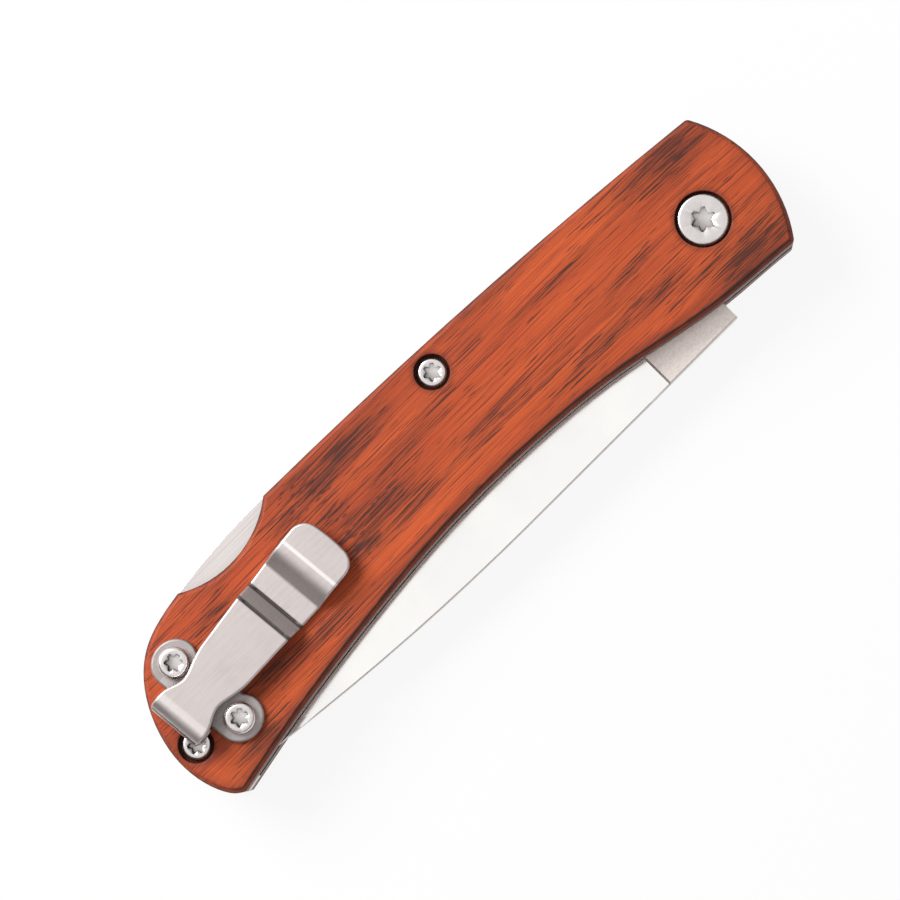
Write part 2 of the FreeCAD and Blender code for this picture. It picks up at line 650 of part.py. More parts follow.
def arm_plate():
    """The arm from above: waisted between the screws, then widening to a crowned tip with round corners."""
    fold = Vector(-CLIP_FOLD_REACH, CLIP_FOLD_WIDTH / 2, 0)
    waist = Vector(-CLIP_WAIST_BACK, CLIP_WAIST_WIDTH / 2, 0)
    arm = Vector(CLIP_ARM_START, CLIP_ARM_WIDTH / 2, 0)
    pad = Vector(clip_pad_end, CLIP_TIP_WIDTH / 2, 0)
    corner = Vector(CLIP_LENGTH - CLIP_TIP_CROWN, CLIP_TIP_WIDTH / 2, 0)
    leaves_fold = Vector(1, -0.25, 0)
    half = [spline([fold, waist, arm], leaves_fold, pad - arm), line(arm, pad), line(pad, corner)]
    other_half = [edge.mirror(Vector(0, 0, 0), Vector(0, 1, 0)) for edge in half]
    other_corner = Vector(corner.x, -corner.y, 0)
    ends = [arc(corner, Vector(CLIP_LENGTH, 0, 0), other_corner), line(fold, Vector(fold.x, -fold.y, 0))]
    plan = Part.Wire(Part.__sortEdges__(half + other_half + ends))
    plate = prism(plan, 0, CLIP_FOLD_HEIGHT)
    plate = plate.makeFillet(CLIP_TIP_RADIUS, upright_edges(plate, [corner, other_corner]))
    plate.translate(Vector(0, CLIP_ARM_SHIFT, 0))
    return plate


def make_pocket_clip():
    half = CLIP_SHEET / 2
    fold_x = half - CLIP_FOLD_REACH
    arm_z = CLIP_FOLD_HEIGHT - half
    arm_slope = math.atan2(CLIP_ARM_SAG, clip_step_start - fold_x)
    fold_radius = (arm_z - half - CLIP_FOLD_FLAT) / (1 + math.tan(math.pi / 4 + arm_slope / 2))
    pad_z = CLIP_REST_GAP + half
    width = 2 * CLIP_TIP_WIDTH
    stations = [
        (0.0, half, 0.0),
        (fold_x, half, fold_radius),
        (fold_x, arm_z, fold_radius),
        (clip_step_start, arm_z - CLIP_ARM_SAG, CLIP_BEND),
        (clip_step_end, pad_z, CLIP_BEND),
        (clip_pad_end, pad_z, CLIP_PAD_BEND),
        (clip_lift_end, CLIP_TIP_LIFT + half, CLIP_TIP_BEND),
        (CLIP_LENGTH, CLIP_TIP_LIFT + half, 0.0),
    ]
    strip, bends = bent_strip(stations, CLIP_SHEET, width)
    step_bends = bends[2:4]
    for bend in step_bends:
        start = bend + Vector(0, CLIP_ARM_SHIFT - CLIP_CREASE_LENGTH / 2, 0)
        strip = strip.cut(Part.makeCylinder(CLIP_CREASE / 2, CLIP_CREASE_LENGTH, start, Vector(0, 1, 0)))
    arm = strip.common(arm_plate())
    ear_places = [Vector(0, side * ear_y, 0) for side in (1, -1)]
    base = box(-CLIP_EAR_RADIUS, CLIP_BASE_FRONT, -ear_y, ear_y, 0, CLIP_SHEET)
    for ear in ear_places:
        base = base.fuse(rod(ear, 2 * CLIP_EAR_RADIUS, 0, CLIP_SHEET))
    clip = arm.fuse(base).removeSplitter()
    for ear in ear_places:
        clip = clip.cut(rod(ear, CLIP_SCREW_DIAMETER + 2 * HOLE_CLEARANCE, 0, CLIP_SHEET))
    clip.Placement = clip_frame
    return clip


# Every piece under its own name

near_scale = make_scale()
near_liner = make_liner()
washer = make_washer()
rocker_screw = make_small_screw(rocker)
end_screw = make_small_screw(butt_screw)
pieces = {
    "clip_side_scale": drill_for_clip(near_scale, near_scale_z, handle_top),
    "far_side_scale": mirror_to_far_side(near_scale),
    "clip_side_liner": drill_for_clip(near_liner, near_liner_z, near_scale_z),
    "far_side_liner": mirror_to_far_side(near_liner),
    "blade": make_blade(),
    "clip_side_washer": washer,
    "far_side_washer": mirror_to_far_side(washer),
    "pivot_barrel": make_pivot_barrel(),
    "pivot_screw": make_pivot_screw(),
    "lock_bar": make_lock_bar(),
    "rocker_sleeve": make_sleeve(rocker),
    "rocker_screw_clip_side": rocker_screw,
    "rocker_screw_far_side": mirror_to_far_side(rocker_screw),
    "lock_spring": make_lock_spring(),
    "butt_spacer": make_butt_spacer(),
    "spacer_dowel": rod(dowel, DOWEL_DIAMETER, far_liner_z, near_scale_z),
    "butt_sleeve": make_sleeve(butt_screw),
    "butt_screw_clip_side": end_screw,
    "butt_screw_far_side": mirror_to_far_side(end_screw),
    "pocket_clip": make_pocket_clip(),
    "clip_screw_back": make_clip_screw(ears[0]),
    "clip_screw_belly": make_clip_screw(ears[1]),
}

os.makedirs("parts", exist_ok=True)
for name, shape in pieces.items():
    print(name, "solids", len(shape.Solids), "valid", shape.isValid(), "mm3", round(shape.Volume, 2))
    shape.exportStep("parts/" + name + ".step")
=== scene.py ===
# %% [markdown]
# # A lock-back folding knife with rosewood scales
#
# The solids come from the CAD model, which is loaded as a fixed frame: every scale, liner, screw
# and lever already sits in its place. This lesson gives each of them its finish, so that the closed
# knife looks as it does on a photographer's white table: oiled red wood, satin stamped steel,
# a polished grind. Pieces that need softer corners are dressed copies of the CAD pieces.

# %% Load the knife
import math
from contextlib import contextmanager

import bmesh
import bpy
import numpy as np
from mathutils import Matrix, Vector


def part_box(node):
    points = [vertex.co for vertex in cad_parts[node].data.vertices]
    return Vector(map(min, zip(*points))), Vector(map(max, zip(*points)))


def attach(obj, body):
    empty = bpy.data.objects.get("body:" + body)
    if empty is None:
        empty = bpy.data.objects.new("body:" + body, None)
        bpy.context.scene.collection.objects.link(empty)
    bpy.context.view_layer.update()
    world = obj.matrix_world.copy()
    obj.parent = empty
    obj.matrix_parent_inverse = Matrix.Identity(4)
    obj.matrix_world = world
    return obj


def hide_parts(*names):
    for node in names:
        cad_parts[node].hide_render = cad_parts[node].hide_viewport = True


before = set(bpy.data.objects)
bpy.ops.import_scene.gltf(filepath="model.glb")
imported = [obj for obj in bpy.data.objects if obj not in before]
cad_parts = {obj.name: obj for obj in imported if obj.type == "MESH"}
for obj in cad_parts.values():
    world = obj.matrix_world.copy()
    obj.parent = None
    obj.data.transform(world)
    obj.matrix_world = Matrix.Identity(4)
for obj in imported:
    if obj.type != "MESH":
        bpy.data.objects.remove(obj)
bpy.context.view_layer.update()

MM = 0.001
scene = bpy.context.scene


def put_in_scene(name, data):
    made = bpy.data.objects.new(name, data)
    scene.collection.objects.link(made)
    return made


handle_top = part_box("clip_side_scale")[1].z
print("CAD pieces:", len(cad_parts), "handle top at", round(handle_top / MM, 2), "mm")

# %% [markdown]
# ## The camera
#
# The knife was photographed from almost straight above, leaning a few degrees to the belly side,
# with the handle running up to the right. A long lens far away keeps the handle's lines parallel.
# The camera's axes are built from the direction it looks back along and the handle's length, which
# lies on the picture's diagonal.

# %% Camera
TABLE_VIEW, VIEW_MIDDLE = 120.9 * MM, Vector((-0.57 * MM, 0, handle_top))
CAMERA_AWAY, CAMERA_LEAN = 600 * MM, math.radians(4.5)
SENSOR_WIDTH, NEAREST, FARTHEST = 36.0, 0.01, 10.0


def aim_camera():
    """A camera over the knife, leaning to the belly, with the handle on its diagonal."""
    back = Vector((0, -math.sin(CAMERA_LEAN), math.cos(CAMERA_LEAN)))
    handle_way = Vector((1, 0, 0))
    back_way = back.cross(handle_way)
    right = (handle_way - back_way).normalized()
    top = (handle_way + back_way).normalized()
    data = bpy.data.cameras.new("table_camera")
    data.sensor_width = SENSOR_WIDTH
    data.lens = data.sensor_width * CAMERA_AWAY / TABLE_VIEW
    data.clip_start, data.clip_end = NEAREST, FARTHEST
    camera = put_in_scene("table_camera", data)
    turn = Matrix((right, top, back)).transposed()
    camera.matrix_world = Matrix.Translation(VIEW_MIDDLE + back * CAMERA_AWAY) @ turn.to_4x4()
    return camera


scene.camera = aim_camera()
scene.view_settings.view_transform = "Standard"
print("lens", round(scene.camera.data.lens, 1), "mm")

# %% [markdown]
# ## Node helpers
#
# Materials and geometry trees are built from the same few calls: add a node, set its plain values,
# join two sockets, do one step of arithmetic. Colours are written as they look on a screen, from 0
# to 255, and turned into the linear values that shaders mix. A finish reads the piece's own
# coordinates in millimetres, so its marks have a real size and stay in place when the piece moves.

# %% Node helpers


def add(owner, kind, values=(), **settings):
    """A new node in the owner's tree, with its settings, and its inputs by name or number."""
    made = owner.id_data.nodes.new(kind)
    for key, value in settings.items():
        setattr(made, key, value)
    set_inputs(made, values)
    return made


def set_inputs(node, values):
    for key, value in dict(values).items():
        feed(value, node.inputs[key])


def feed(value, socket):
    """Joins an output to an input, or sets the input to a plain value."""
    if isinstance(value, bpy.types.NodeSocket):
        socket.id_data.links.new(value, socket)
    else:
        socket.default_value = value


def calc(operation, first, second=0.0):
    """One step of arithmetic, in the tree of the values it is given."""
    owner = first if isinstance(first, bpy.types.NodeSocket) else second
    return add(owner, "ShaderNodeMath", {0: first, 1: second}, operation=operation).outputs[0]


def times(first, second):
    return calc("MULTIPLY", first, second)


def minus(first, second):
    return calc("SUBTRACT", first, second)


def plus_share(start, value, share):
    """A start, and a share of a value on top of it."""
    return calc("ADD", start, times(value, share))


def ramp(value, low, high):
    """0 at low and 1 at high, smoothly."""
    span = {"Value": value, "From Min": low, "From Max": high}
    return add(value, "ShaderNodeMapRange", span, interpolation_type="SMOOTHSTEP").outputs[0]


def fading(value, low, high):
    """1 at low and 0 at high, smoothly."""
    return minus(1.0, ramp(value, low, high))


def linear(red, green, blue):
    """A screen colour as linear values."""
    def one(level):
        share = level / 255
        return share / 12.92 if share <= 0.04045 else ((share + 0.055) / 1.055) ** 2.4
    return (one(red), one(green), one(blue), 1.0)


def blend(amount, under, over):
    """One colour over another by an amount."""
    mix = add(amount, "ShaderNodeMix", {0: amount, 6: under, 7: over}, data_type="RGBA")
    return mix.outputs[2]


print("node helpers ready")

# %% Material helpers


def start_material(name):
    """An empty material with its shader, and the piece's own coordinates in millimetres."""
    material = bpy.data.materials.new(name)
    material.use_nodes = True
    tree = material.node_tree
    tree.nodes.clear()
    shader = add(tree, "ShaderNodeBsdfPrincipled")
    output = add(tree, "ShaderNodeOutputMaterial")
    feed(shader.outputs[0], output.inputs["Surface"])
    place = add(tree, "ShaderNodeTexCoord").outputs["Object"]
    millimetres = add(tree, "ShaderNodeVectorMath", {0: place, "Scale": 1 / MM}, operation="SCALE")
    return material, shader, millimetres.outputs[0]


def own_value(owner, name):
    """A value that the piece carries on its points or faces."""
    return add(owner, "ShaderNodeAttribute", attribute_name=name).outputs["Fac"]


def vector(operation, first, second):
    """One step of arithmetic with places."""
    values = {0: first, 1: second}
    return add(first, "ShaderNodeVectorMath", values, operation=operation).outputs[0]


def noise(place, scale, detail, crumble):
    values = {"Vector": place, "Scale": scale, "Detail": detail, "Roughness": crumble}
    return add(place, "ShaderNodeTexNoise", values).outputs[0]


def bumps(height, depth, strength, invert=False):
    """A normal with bumps of a depth in millimetres."""
    values = {"Height": height, "Distance": depth * MM, "Strength": strength}
    return add(height, "ShaderNodeBump", values, invert=invert).outputs[0]


print("material helpers ready")

# %% [markdown]
# ## Table and light
#
# A white table and a soft light from the back's side. The world is white to the camera and in
# reflections, and dimmer as a lamp. Bare steel shows whatever is round it, so three grey cards hang
# just out of view past the nose, the butt and the belly: they give the bends of the clip and the
# round screw heads their darker sides. Lamps could too, but cards change only what steel reflects.

# %% Table and room
TABLE_CORNERS, TABLE_HEIGHT = [(-2, -2), (2, -2), (2, 2), (-2, 2)], -2e-5
TABLE_WHITE, ROOM_LIGHT = 0.9, 0.38
WHITE, PAPER_WHITE, PAPER_ROUGH = (1, 1, 1, 1), (0.93, 0.93, 0.93, 1), 0.9


def seen_directly(tree):
    """1 for rays from the camera and for those that a shiny or clear surface sends out."""
    path = add(tree, "ShaderNodeLightPath").outputs
    seen = calc("MAXIMUM", path["Is Camera Ray"], path["Is Glossy Ray"])
    return calc("MAXIMUM", seen, path["Is Transmission Ray"])


def white_room():
    world = bpy.data.worlds.new("white_room")
    world.use_nodes = True
    tree = world.node_tree
    strength = plus_share(ROOM_LIGHT, seen_directly(tree), 1 - ROOM_LIGHT)
    set_inputs(tree.nodes["Background"], {"Color": WHITE, "Strength": strength})
    return world


def plate(name, corners, material):
    mesh = bpy.data.meshes.new(name)
    mesh.from_pydata(corners, [], [tuple(range(len(corners)))])
    mesh.materials.append(material)
    made = put_in_scene(name, mesh)
    return made


def matt_paper(name, colour):
    material, shader, _ = start_material(name)
    set_inputs(shader, {"Base Color": colour, "Roughness": PAPER_ROUGH})
    return material


def table_paper():
    """Matt white, a little lifted where it is seen directly: it stays white, with the shadow."""
    material = matt_paper("table_paper", PAPER_WHITE)
    tree = material.node_tree
    matt = tree.nodes["Principled BSDF"]
    glow = add(tree, "ShaderNodeEmission", {"Color": WHITE})
    amount = times(seen_directly(tree), TABLE_WHITE)
    mix = add(tree, "ShaderNodeMixShader", {0: amount, 1: matt.outputs[0], 2: glow.outputs[0]})
    feed(mix.outputs[0], tree.nodes["Material Output"].inputs["Surface"])
    return material


scene.world = white_room()
plate("table", [(*corner, TABLE_HEIGHT) for corner in TABLE_CORNERS], table_paper())
print("table and room:", scene.world.name)

# %% Cards and lamp
CARD_GREY = (126, 122, 119)
CARDS_AWAY = 0.24
# Which way each card faces, its lower and upper edge, and its width, in metres
GREY_CARDS = {
    "nose_card": ((-1, 0, 0), 0.03, 0.22, 0.40),
    "butt_card": ((1, 0, 0), 0.02, 0.28, 0.40),
    "belly_card": ((0, 1, 0), 0.13, 0.38, 0.50),
}
LAMP_PLACE, LAMP_SIZE, LAMP_POWER = (-0.12, 0.42, 0.42), 0.36, 3.9


def grey_card(name, facing, low, high, width, paper):
    """A card that hangs facing the knife, seen only in reflections."""
    facing = Vector(facing)
    middle = Vector((0, 0, low)) - facing * CARDS_AWAY
    side = Vector((-facing.y, facing.x, 0)) * width / 2
    up = Vector((0, 0, high - low))
    edge = [middle - side, middle + side]
    card = plate(name, edge + [corner + up for corner in reversed(edge)], paper)
    card.visible_camera = card.visible_shadow = card.visible_diffuse = False


def softbox(name):
    data = bpy.data.lights.new(name, "AREA")
    data.shape, data.size, data.energy = "DISK", LAMP_SIZE, LAMP_POWER
    lamp = put_in_scene(name, data)
    lamp.location = LAMP_PLACE
    lamp.rotation_mode = "QUATERNION"
    lamp.rotation_quaternion = Vector(LAMP_PLACE).to_track_quat("Z", "Y")


card_paper = matt_paper("grey_card_paper", linear(*CARD_GREY))
for name, sizes in GREY_CARDS.items():
    grey_card(name, *sizes, card_paper)
softbox("back_softbox")

# %% [markdown]
# ## Shared surface effects
#
# Three effects come back in most of the finishes. Streaks are noise pulled long in one direction:
# wood grain, brushing and grinding marks all look like that. Smudges are slow unevenness in how a
# hand-finished surface shines. An edge band turns a distance from an edge into a soft, broken band.
# Each is a node group, placed in a material with its own numbers, so one mend reaches them all.

# %% Streaks, smudges and worn edges
FLOAT = "NodeSocketFloat"
STREAK_CRUMBLE, SMUDGE_CRUMBLE = 0.6, 0.55
NOISE_SPAN = (0.3, 0.7)
EDGE_BROKEN, EDGE_SOLID = 0.8, 0.15


def start_group(name, inputs, output):
    """A shader group with its end nodes. Only a place is a vector, the rest are numbers."""
    tree = bpy.data.node_groups.new(name, "ShaderNodeTree")
    for title in inputs:
        kind = "NodeSocketVector" if title == "Place" else FLOAT
        tree.interface.new_socket(name=title, in_out="INPUT", socket_type=kind)
    tree.interface.new_socket(name=output, in_out="OUTPUT", socket_type=FLOAT)
    return tree, add(tree, "NodeGroupInput").outputs, add(tree, "NodeGroupOutput").inputs


def streak_group():
    """Noise drawn out along X: Along and Across are how many marks fit in a millimetre."""
    tree, given, result = start_group(
        "streaks", ["Place", "Along", "Across", "Detail", "Shift"], "Streak")
    across = given["Across"]
    pull = add(tree, "ShaderNodeCombineXYZ", {0: given["Along"], 1: across, 2: across})
    drawn = vector("MULTIPLY", given["Place"], pull.outputs[0])
    moved = vector("ADD", drawn, given["Shift"])
    feed(noise(moved, 1.0, given["Detail"], STREAK_CRUMBLE), result["Streak"])
    return tree


def smudge_group():
    """Slow unevenness, from 0 to 1, with patches of about Size millimetres."""
    tree, given, result = start_group("smudges", ["Place", "Size"], "Smudge")
    patches = noise(given["Place"], calc("DIVIDE", 1.0, given["Size"]), 3.0, SMUDGE_CRUMBLE)
    feed(ramp(patches, *NOISE_SPAN), result["Smudge"])
    return tree


def edge_band_group():
    """1 at an edge, fading over Width millimetres, broken up by Rough."""
    tree, given, result = start_group("edge_band", ["Distance", "Width", "Rough"], "Edge")
    uneven = minus(given["Rough"], 0.5)
    reach = times(given["Width"], plus_share(1.0, uneven, EDGE_BROKEN))
    share = calc("DIVIDE", given["Distance"], reach)
    feed(fading(share, EDGE_SOLID, 1.0), result["Edge"])
    return tree


def use(group, *values):
    """Places a group in the material of its first value, and gives its output."""
    return add(values[0], "ShaderNodeGroup", enumerate(values), node_tree=group).outputs[0]


streaks, smudges, edge_band = streak_group(), smudge_group(), edge_band_group()
print("shared effects:", [g.name for g in bpy.data.node_groups])

# %% [markdown]
# ## Dressed copies
#
# A CAD piece arrives as loose triangles. A copy is merged, and its flat faces are joined again. Its
# corners get a small round, because no real edge is perfectly sharp and the round is what catches
# the light. A new model could do the same, but a copy keeps the exact outline. It then stands for
# the CAD piece and rides on the same body.

# %% Dressed copies
SAME_POINT = 2e-6
FLAT_ENOUGH = math.radians(0.6)


@contextmanager
def reshaping(mesh):
    """Opens a mesh for changes and writes them back."""
    work = bmesh.new()
    work.from_mesh(mesh)
    yield work
    work.to_mesh(mesh)
    work.free()


def merged_copy(node, name):
    """The CAD piece as one joined mesh, its flat faces whole again."""
    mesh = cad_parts[node].data.copy()
    mesh.materials.clear()
    with reshaping(mesh) as work:
        bmesh.ops.remove_doubles(work, verts=work.verts, dist=SAME_POINT)
        bmesh.ops.dissolve_limit(work, angle_limit=FLAT_ENOUGH, verts=work.verts, edges=work.edges)
    mesh.name = name
    return put_in_scene(name, mesh)


def finish_mesh(piece):
    """Replaces the piece's mesh by what its modifiers make of it."""
    bpy.context.view_layer.update()
    ready = piece.evaluated_get(bpy.context.evaluated_depsgraph_get())
    mesh = bpy.data.meshes.new_from_object(ready)
    piece.modifiers.clear()
    old = piece.data
    piece.data = mesh
    mesh.name = piece.name
    bpy.data.meshes.remove(old)
    return piece


def soften(piece, width, steps=2, by="ANGLE", from_angle=30):
    """Rounds the corners that are sharper than an angle, or the edges that carry a weight."""
    bevel = piece.modifiers.new("round", "BEVEL")
    bevel.width = width * MM
    bevel.segments = steps
    bevel.limit_method = by
    bevel.angle_limit = math.radians(from_angle)
    bevel.use_clamp_overlap = False
    bevel.miter_outer = "MITER_ARC"
    return finish_mesh(piece)


def shade(piece, sharp_from=28):
    """Smooth shading, with an edge kept sharp where the faces turn by more than an angle."""
    piece.data.polygons.foreach_set("use_smooth", [True] * len(piece.data.polygons))
    piece.data.set_sharp_from_angle(angle=math.radians(sharp_from))
    weighted = piece.modifiers.new("flat faces", "WEIGHTED_NORMAL")
    weighted.keep_sharp = True
    return finish_mesh(piece)


def stand_in(piece, nodes, body, material):
    """The piece takes the CAD pieces' place, with its material."""
    piece.data.materials.clear()
    piece.data.materials.append(material)
    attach(piece, body)
    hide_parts(*nodes)
    print(piece.name, "stands for", ", ".join(nodes), "with", len(piece.data.polygons), "faces")
    return piece


print("dressing helpers ready")

# %% [markdown]
# ## Rosewood scales
#
# The scales are plates of red, resin-filled rosewood with a small chamfer. Painted shade darkens
# the plate towards its edges and the chamfer, most of all along the belly, which faces away from
# the light, and draws a dark line on the chamfer's corner there. A dark line runs round the rim,
# and the counterbores get painted shade and a darker ring round them. A flat CAD face has no points
# inside it, so the copy is cut by a fine grid. Its points then carry measured values: the distance
# to the plate's edge, how far that edge faces the belly, and the distance to the nearest
# counterbore.

# %% Measuring a scale
HOLE_MARGIN, FLAT_FACE = 0.3 * MM, 0.99
SMALLEST_RUN, CUT_SNAP = 1e-9, 1e-7
COUNTERBORES = {"pivot_screw": 3.85, "rocker_screw_clip_side": 2.47, "butt_screw_clip_side": 2.47}
SCREW_HOLES = [*COUNTERBORES, "clip_screw_back", "clip_screw_belly"]


def box_middle(node):
    low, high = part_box(node)
    return (low + high) / 2


def plate_edge(piece, inner_z):
    """The plate's outer edge, as pairs of points on its inner face, away from the screw holes."""
    holes = []
    for node in SCREW_HOLES:
        low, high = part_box(node)
        holes.append((box_middle(node), (high.x - low.x) / 2 + HOLE_MARGIN))
    flat_beside = {}
    for face in piece.data.polygons:
        for key in face.edge_keys:
            flat_beside.setdefault(key, set()).add(abs(face.normal.z) > FLAT_FACE)
    runs = []
    for edge in piece.data.edges:
        a, b = (piece.data.vertices[i].co for i in edge.vertices)
        if max(abs(a.z - inner_z), abs(b.z - inner_z)) > SAME_POINT:
            continue
        if any((a.xy - centre.xy).length < reach for centre, reach in holes):
            continue
        if flat_beside[tuple(sorted(edge.vertices))] == {True, False}:
            runs.append((tuple(a.xy), tuple(b.xy)))
    return np.array(runs)


def edge_distance(points, runs):
    """Each point's distance to the plate's edge, and how far that edge faces the belly, 0 to 1."""
    nearest = np.full(len(points), np.inf)
    belly = np.zeros(len(points))
    for start, end in runs:
        run = end - start
        length = max(np.linalg.norm(run), SMALLEST_RUN)
        share = np.clip((points - start) @ run / length ** 2, 0, 1)
        far = np.linalg.norm(points - start - share[:, None] * run, axis=1)
        closer = far < nearest
        nearest[closer] = far[closer]
        belly[closer] = abs(run[0]) / length if start[1] < 0 else 0.0
    return nearest, belly


def bore_distance(points):
    """How far each point is outside the rim of the nearest counterbore, and 0 inside it."""
    nearest = np.full(len(points), np.inf)
    for node, radius in COUNTERBORES.items():
        middle = np.array(box_middle(node))[:2]
        nearest = np.minimum(nearest, np.linalg.norm(points - middle, axis=1) - radius * MM)
    return np.maximum(nearest, 0.0)


def cut_in_grid(piece, step):
    """Cuts the piece along evenly spaced planes across X and Y."""
    with reshaping(piece.data) as work:
        for axis, normal in enumerate((Vector((1, 0, 0)), Vector((0, 1, 0)))):
            places = [v.co[axis] for v in work.verts]
            for count in range(math.ceil(min(places) / step), math.floor(max(places) / step) + 1):
                everything = work.verts[:] + work.edges[:] + work.faces[:]
                bmesh.ops.bisect_plane(work, geom=everything, dist=CUT_SNAP,
                                       plane_co=normal * (count * step), plane_no=normal)


print("screw holes to leave out:", len(SCREW_HOLES))

# %% [markdown]
# ## The wood's figure
#
# Noise alone would spread the dark figure evenly, and a real board has it in a few places. So the
# smoky patches, and the places where short black pores crowd together, are listed as soft
# ovals, and each point of a scale carries their strength.

# %% Dressed scales
GRID_STEP, SCALE_ROUND, SCALE_CORNER, FIGURE_FALL = 1.2 * MM, 0.10, 25, 0.9
NEAR_FIGURE, FAR_FIGURE = (1, 1), (-0.9, 1)
# Two patches, at (-38, -4.2) under the clip's arm and (-17, -1) by its tip, are partly painted
# shadow.
# Smoky figure in the wood: middle x and y, half length, half width in mm, and strength
SMOKY_FIGURE = [
    (-10.5, 10.2, 8, 1.7, 1), (-15.5, 9.4, 6, 2.2, 0.85), (-22.5, 9, 3.5, 1, 0.9),
    (-19, 11.8, 4.5, 1, 0.7), (-17.5, 5, 4, 5, 0.65), (-13, 1.2, 7.5, 2.8, 0.8),
    (-8, -1.8, 6, 1, 0.8), (-6, 4.4, 8, 1.8, 0.6), (-17, -1, 4, 1.8, 0.8),
    (-39, 7, 4, 1, 0.8), (-36, 9.6, 5, 0.7, 0.5), (-46, -9.8, 6, 1.4, 0.85),
    (-52, -1.2, 3.5, 0.8, 0.8), (-38, -4.2, 5, 1.2, 0.85), (-29, -5.4, 8, 1.2, 0.7),
    (-51, -6.8, 4, 0.8, 0.6), (47, 8.4, 9, 1.2, 1), (49, 6.4, 7, 2, 0.95),
    (41, 7.6, 4, 0.6, 1), (46, 3, 9, 0.5, 0.6), (20, 11.3, 9, 0.7, 0.6),
    (13, 8.9, 4, 0.5, 0.7), (26, 5.9, 9, 0.4, 0.6), (34, -0.2, 5, 0.7, 0.8),
    (27, -4.2, 7, 0.7, 0.85), (34, -5.3, 5, 0.7, 1), (22, -5.2, 9, 0.7, 0.75),
    (36, -3.3, 5, 0.4, 0.7), (47, -9.4, 8.5, 3, 0.85), (46, -11.4, 9, 1, 0.8),
    (51, -4.6, 5, 0.6, 0.7), (42, -7.2, 6, 0.8, 0.7), (4, -1.5, 7, 1.4, 0.5),
    (13, -2.4, 6, 0.8, 0.5), (14, 2.8, 6, 0.5, 0.5), (2, 6.2, 6, 1, 0.4),
]
# Where short black pores crowd together, in the same numbers
CROWDED_PORES = [
    (-17.2, 8.4, 1.5, 4.5, 1), (-16.8, 2.2, 1.7, 3.6, 1), (-21.6, 8.9, 1.4, 1.4, 0.9),
    (-19.5, 11.4, 3, 1, 0.8), (-18.8, -0.6, 2, 1.8, 1), (-19, 3.4, 1.4, 1.4, 0.8),
    (-13, 3, 4, 4, 0.3),
]


def figure_at(points, patches):
    """How strong the hand-placed patches are at each point."""
    dark = np.zeros(len(points))
    for x, y, half_length, half_width, strength in patches:
        reach = ((points[:, 0] - x) / half_length) ** 2 + ((points[:, 1] - y) / half_width) ** 2
        dark = np.maximum(dark, strength * np.exp(-reach * FIGURE_FALL))
    return dark


def wooden_scale(node, name, inner_z, figure_turn):
    """A gridded scale with its values; the turn gives the far side a figure of its own."""
    piece = merged_copy(node, name)
    runs = plate_edge(piece, inner_z)
    soften(piece, SCALE_ROUND, from_angle=SCALE_CORNER)
    cut_in_grid(piece, GRID_STEP)
    points = np.array([v.co[:2] for v in piece.data.vertices])
    distance, belly = edge_distance(points, runs)
    places = points / MM * np.array(figure_turn)
    for title, values in [("edge_mm", distance / MM), ("belly", belly),
                          ("bore_mm", bore_distance(points) / MM),
                          ("figure", figure_at(places, SMOKY_FIGURE)),
                          ("pores", figure_at(places, CROWDED_PORES))]:
        attribute = piece.data.attributes.new(title, "FLOAT", "POINT")
        attribute.data.foreach_set("value", np.asarray(values, np.float32))
    return shade(piece)


near_inner_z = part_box("clip_side_scale")[0].z
far_inner_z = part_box("far_side_scale")[1].z
near_scale = wooden_scale("clip_side_scale", "rosewood_scale_clip_side", near_inner_z, NEAR_FIGURE)
far_scale = wooden_scale("far_side_scale", "rosewood_scale_far_side", far_inner_z, FAR_FIGURE)
print("scale faces:", len(near_scale.data.polygons), len(far_scale.data.polygons))

# %% [markdown]
# ## Rosewood finish
#
# Real rosewood shows several layers at once: slow bands of orange and red-brown, fine streaks along
# the grain, dark broken lines that are denser where the wood is figured, and short pores, which are
# separate marks, one to a cell. The streaks are one group with different lengths, read in the
# piece's own millimetres, so the grain runs through the plate and round its edge. It leans and
# wanders a little, because no board is sawn dead straight. A picture would stretch at the edge.

# %% Grain
GRAIN_WANDER, WANDER_PER_MM, WANDER_CRUMBLE = 1.6, (0.03, 0.05, 0.05), 0.5
GRAIN_FALL = 0.015
GRAIN_BEND, BEND_FROM, BEND_TO = -1.2, -42.0, 12.0
PORES_PER_MM = (0.62, 2.1, 2.1)
PORE_SIZE, PORE_GROWTH, PORE_SPAN, PORE_DARK = 0.12, 0.38, (0.25, 1.2), 0.7
PORES_FROM, PORES_TO = 0.08, 0.3
FIGURE_PULL, LINE_SPAN = 0.22, 0.045


def bent_grain(place):
    """The place, moved sideways so that straight streaks follow the board's bends."""
    slow = noise(vector("MULTIPLY", place, WANDER_PER_MM), 1.0, 1.0, WANDER_CRUMBLE)
    x, y, z = add(place, "ShaderNodeSeparateXYZ", {0: place}).outputs
    rise = times(ramp(x, BEND_FROM, BEND_TO), GRAIN_BEND)
    wander = plus_share(rise, minus(slow, 0.5), GRAIN_WANDER)
    bent = calc("ADD", plus_share(y, x, GRAIN_FALL), wander)
    return add(place, "ShaderNodeCombineXYZ", {0: x, 1: bent, 2: z}).outputs[0]


def grain_layer(grain, *layer):
    """One layer of streaks, as an amount."""
    *marks, low, high, strength = layer
    return times(ramp(use(streaks, grain, *marks), low, high), strength)


def dark_lines(grain, figure, *layer):
    """Dark broken lines, rare in plain wood and dense where the wood is figured."""
    *marks, low = layer
    likely = plus_share(use(streaks, grain, *marks), figure, FIGURE_PULL)
    return ramp(likely, low, low + LINE_SPAN)


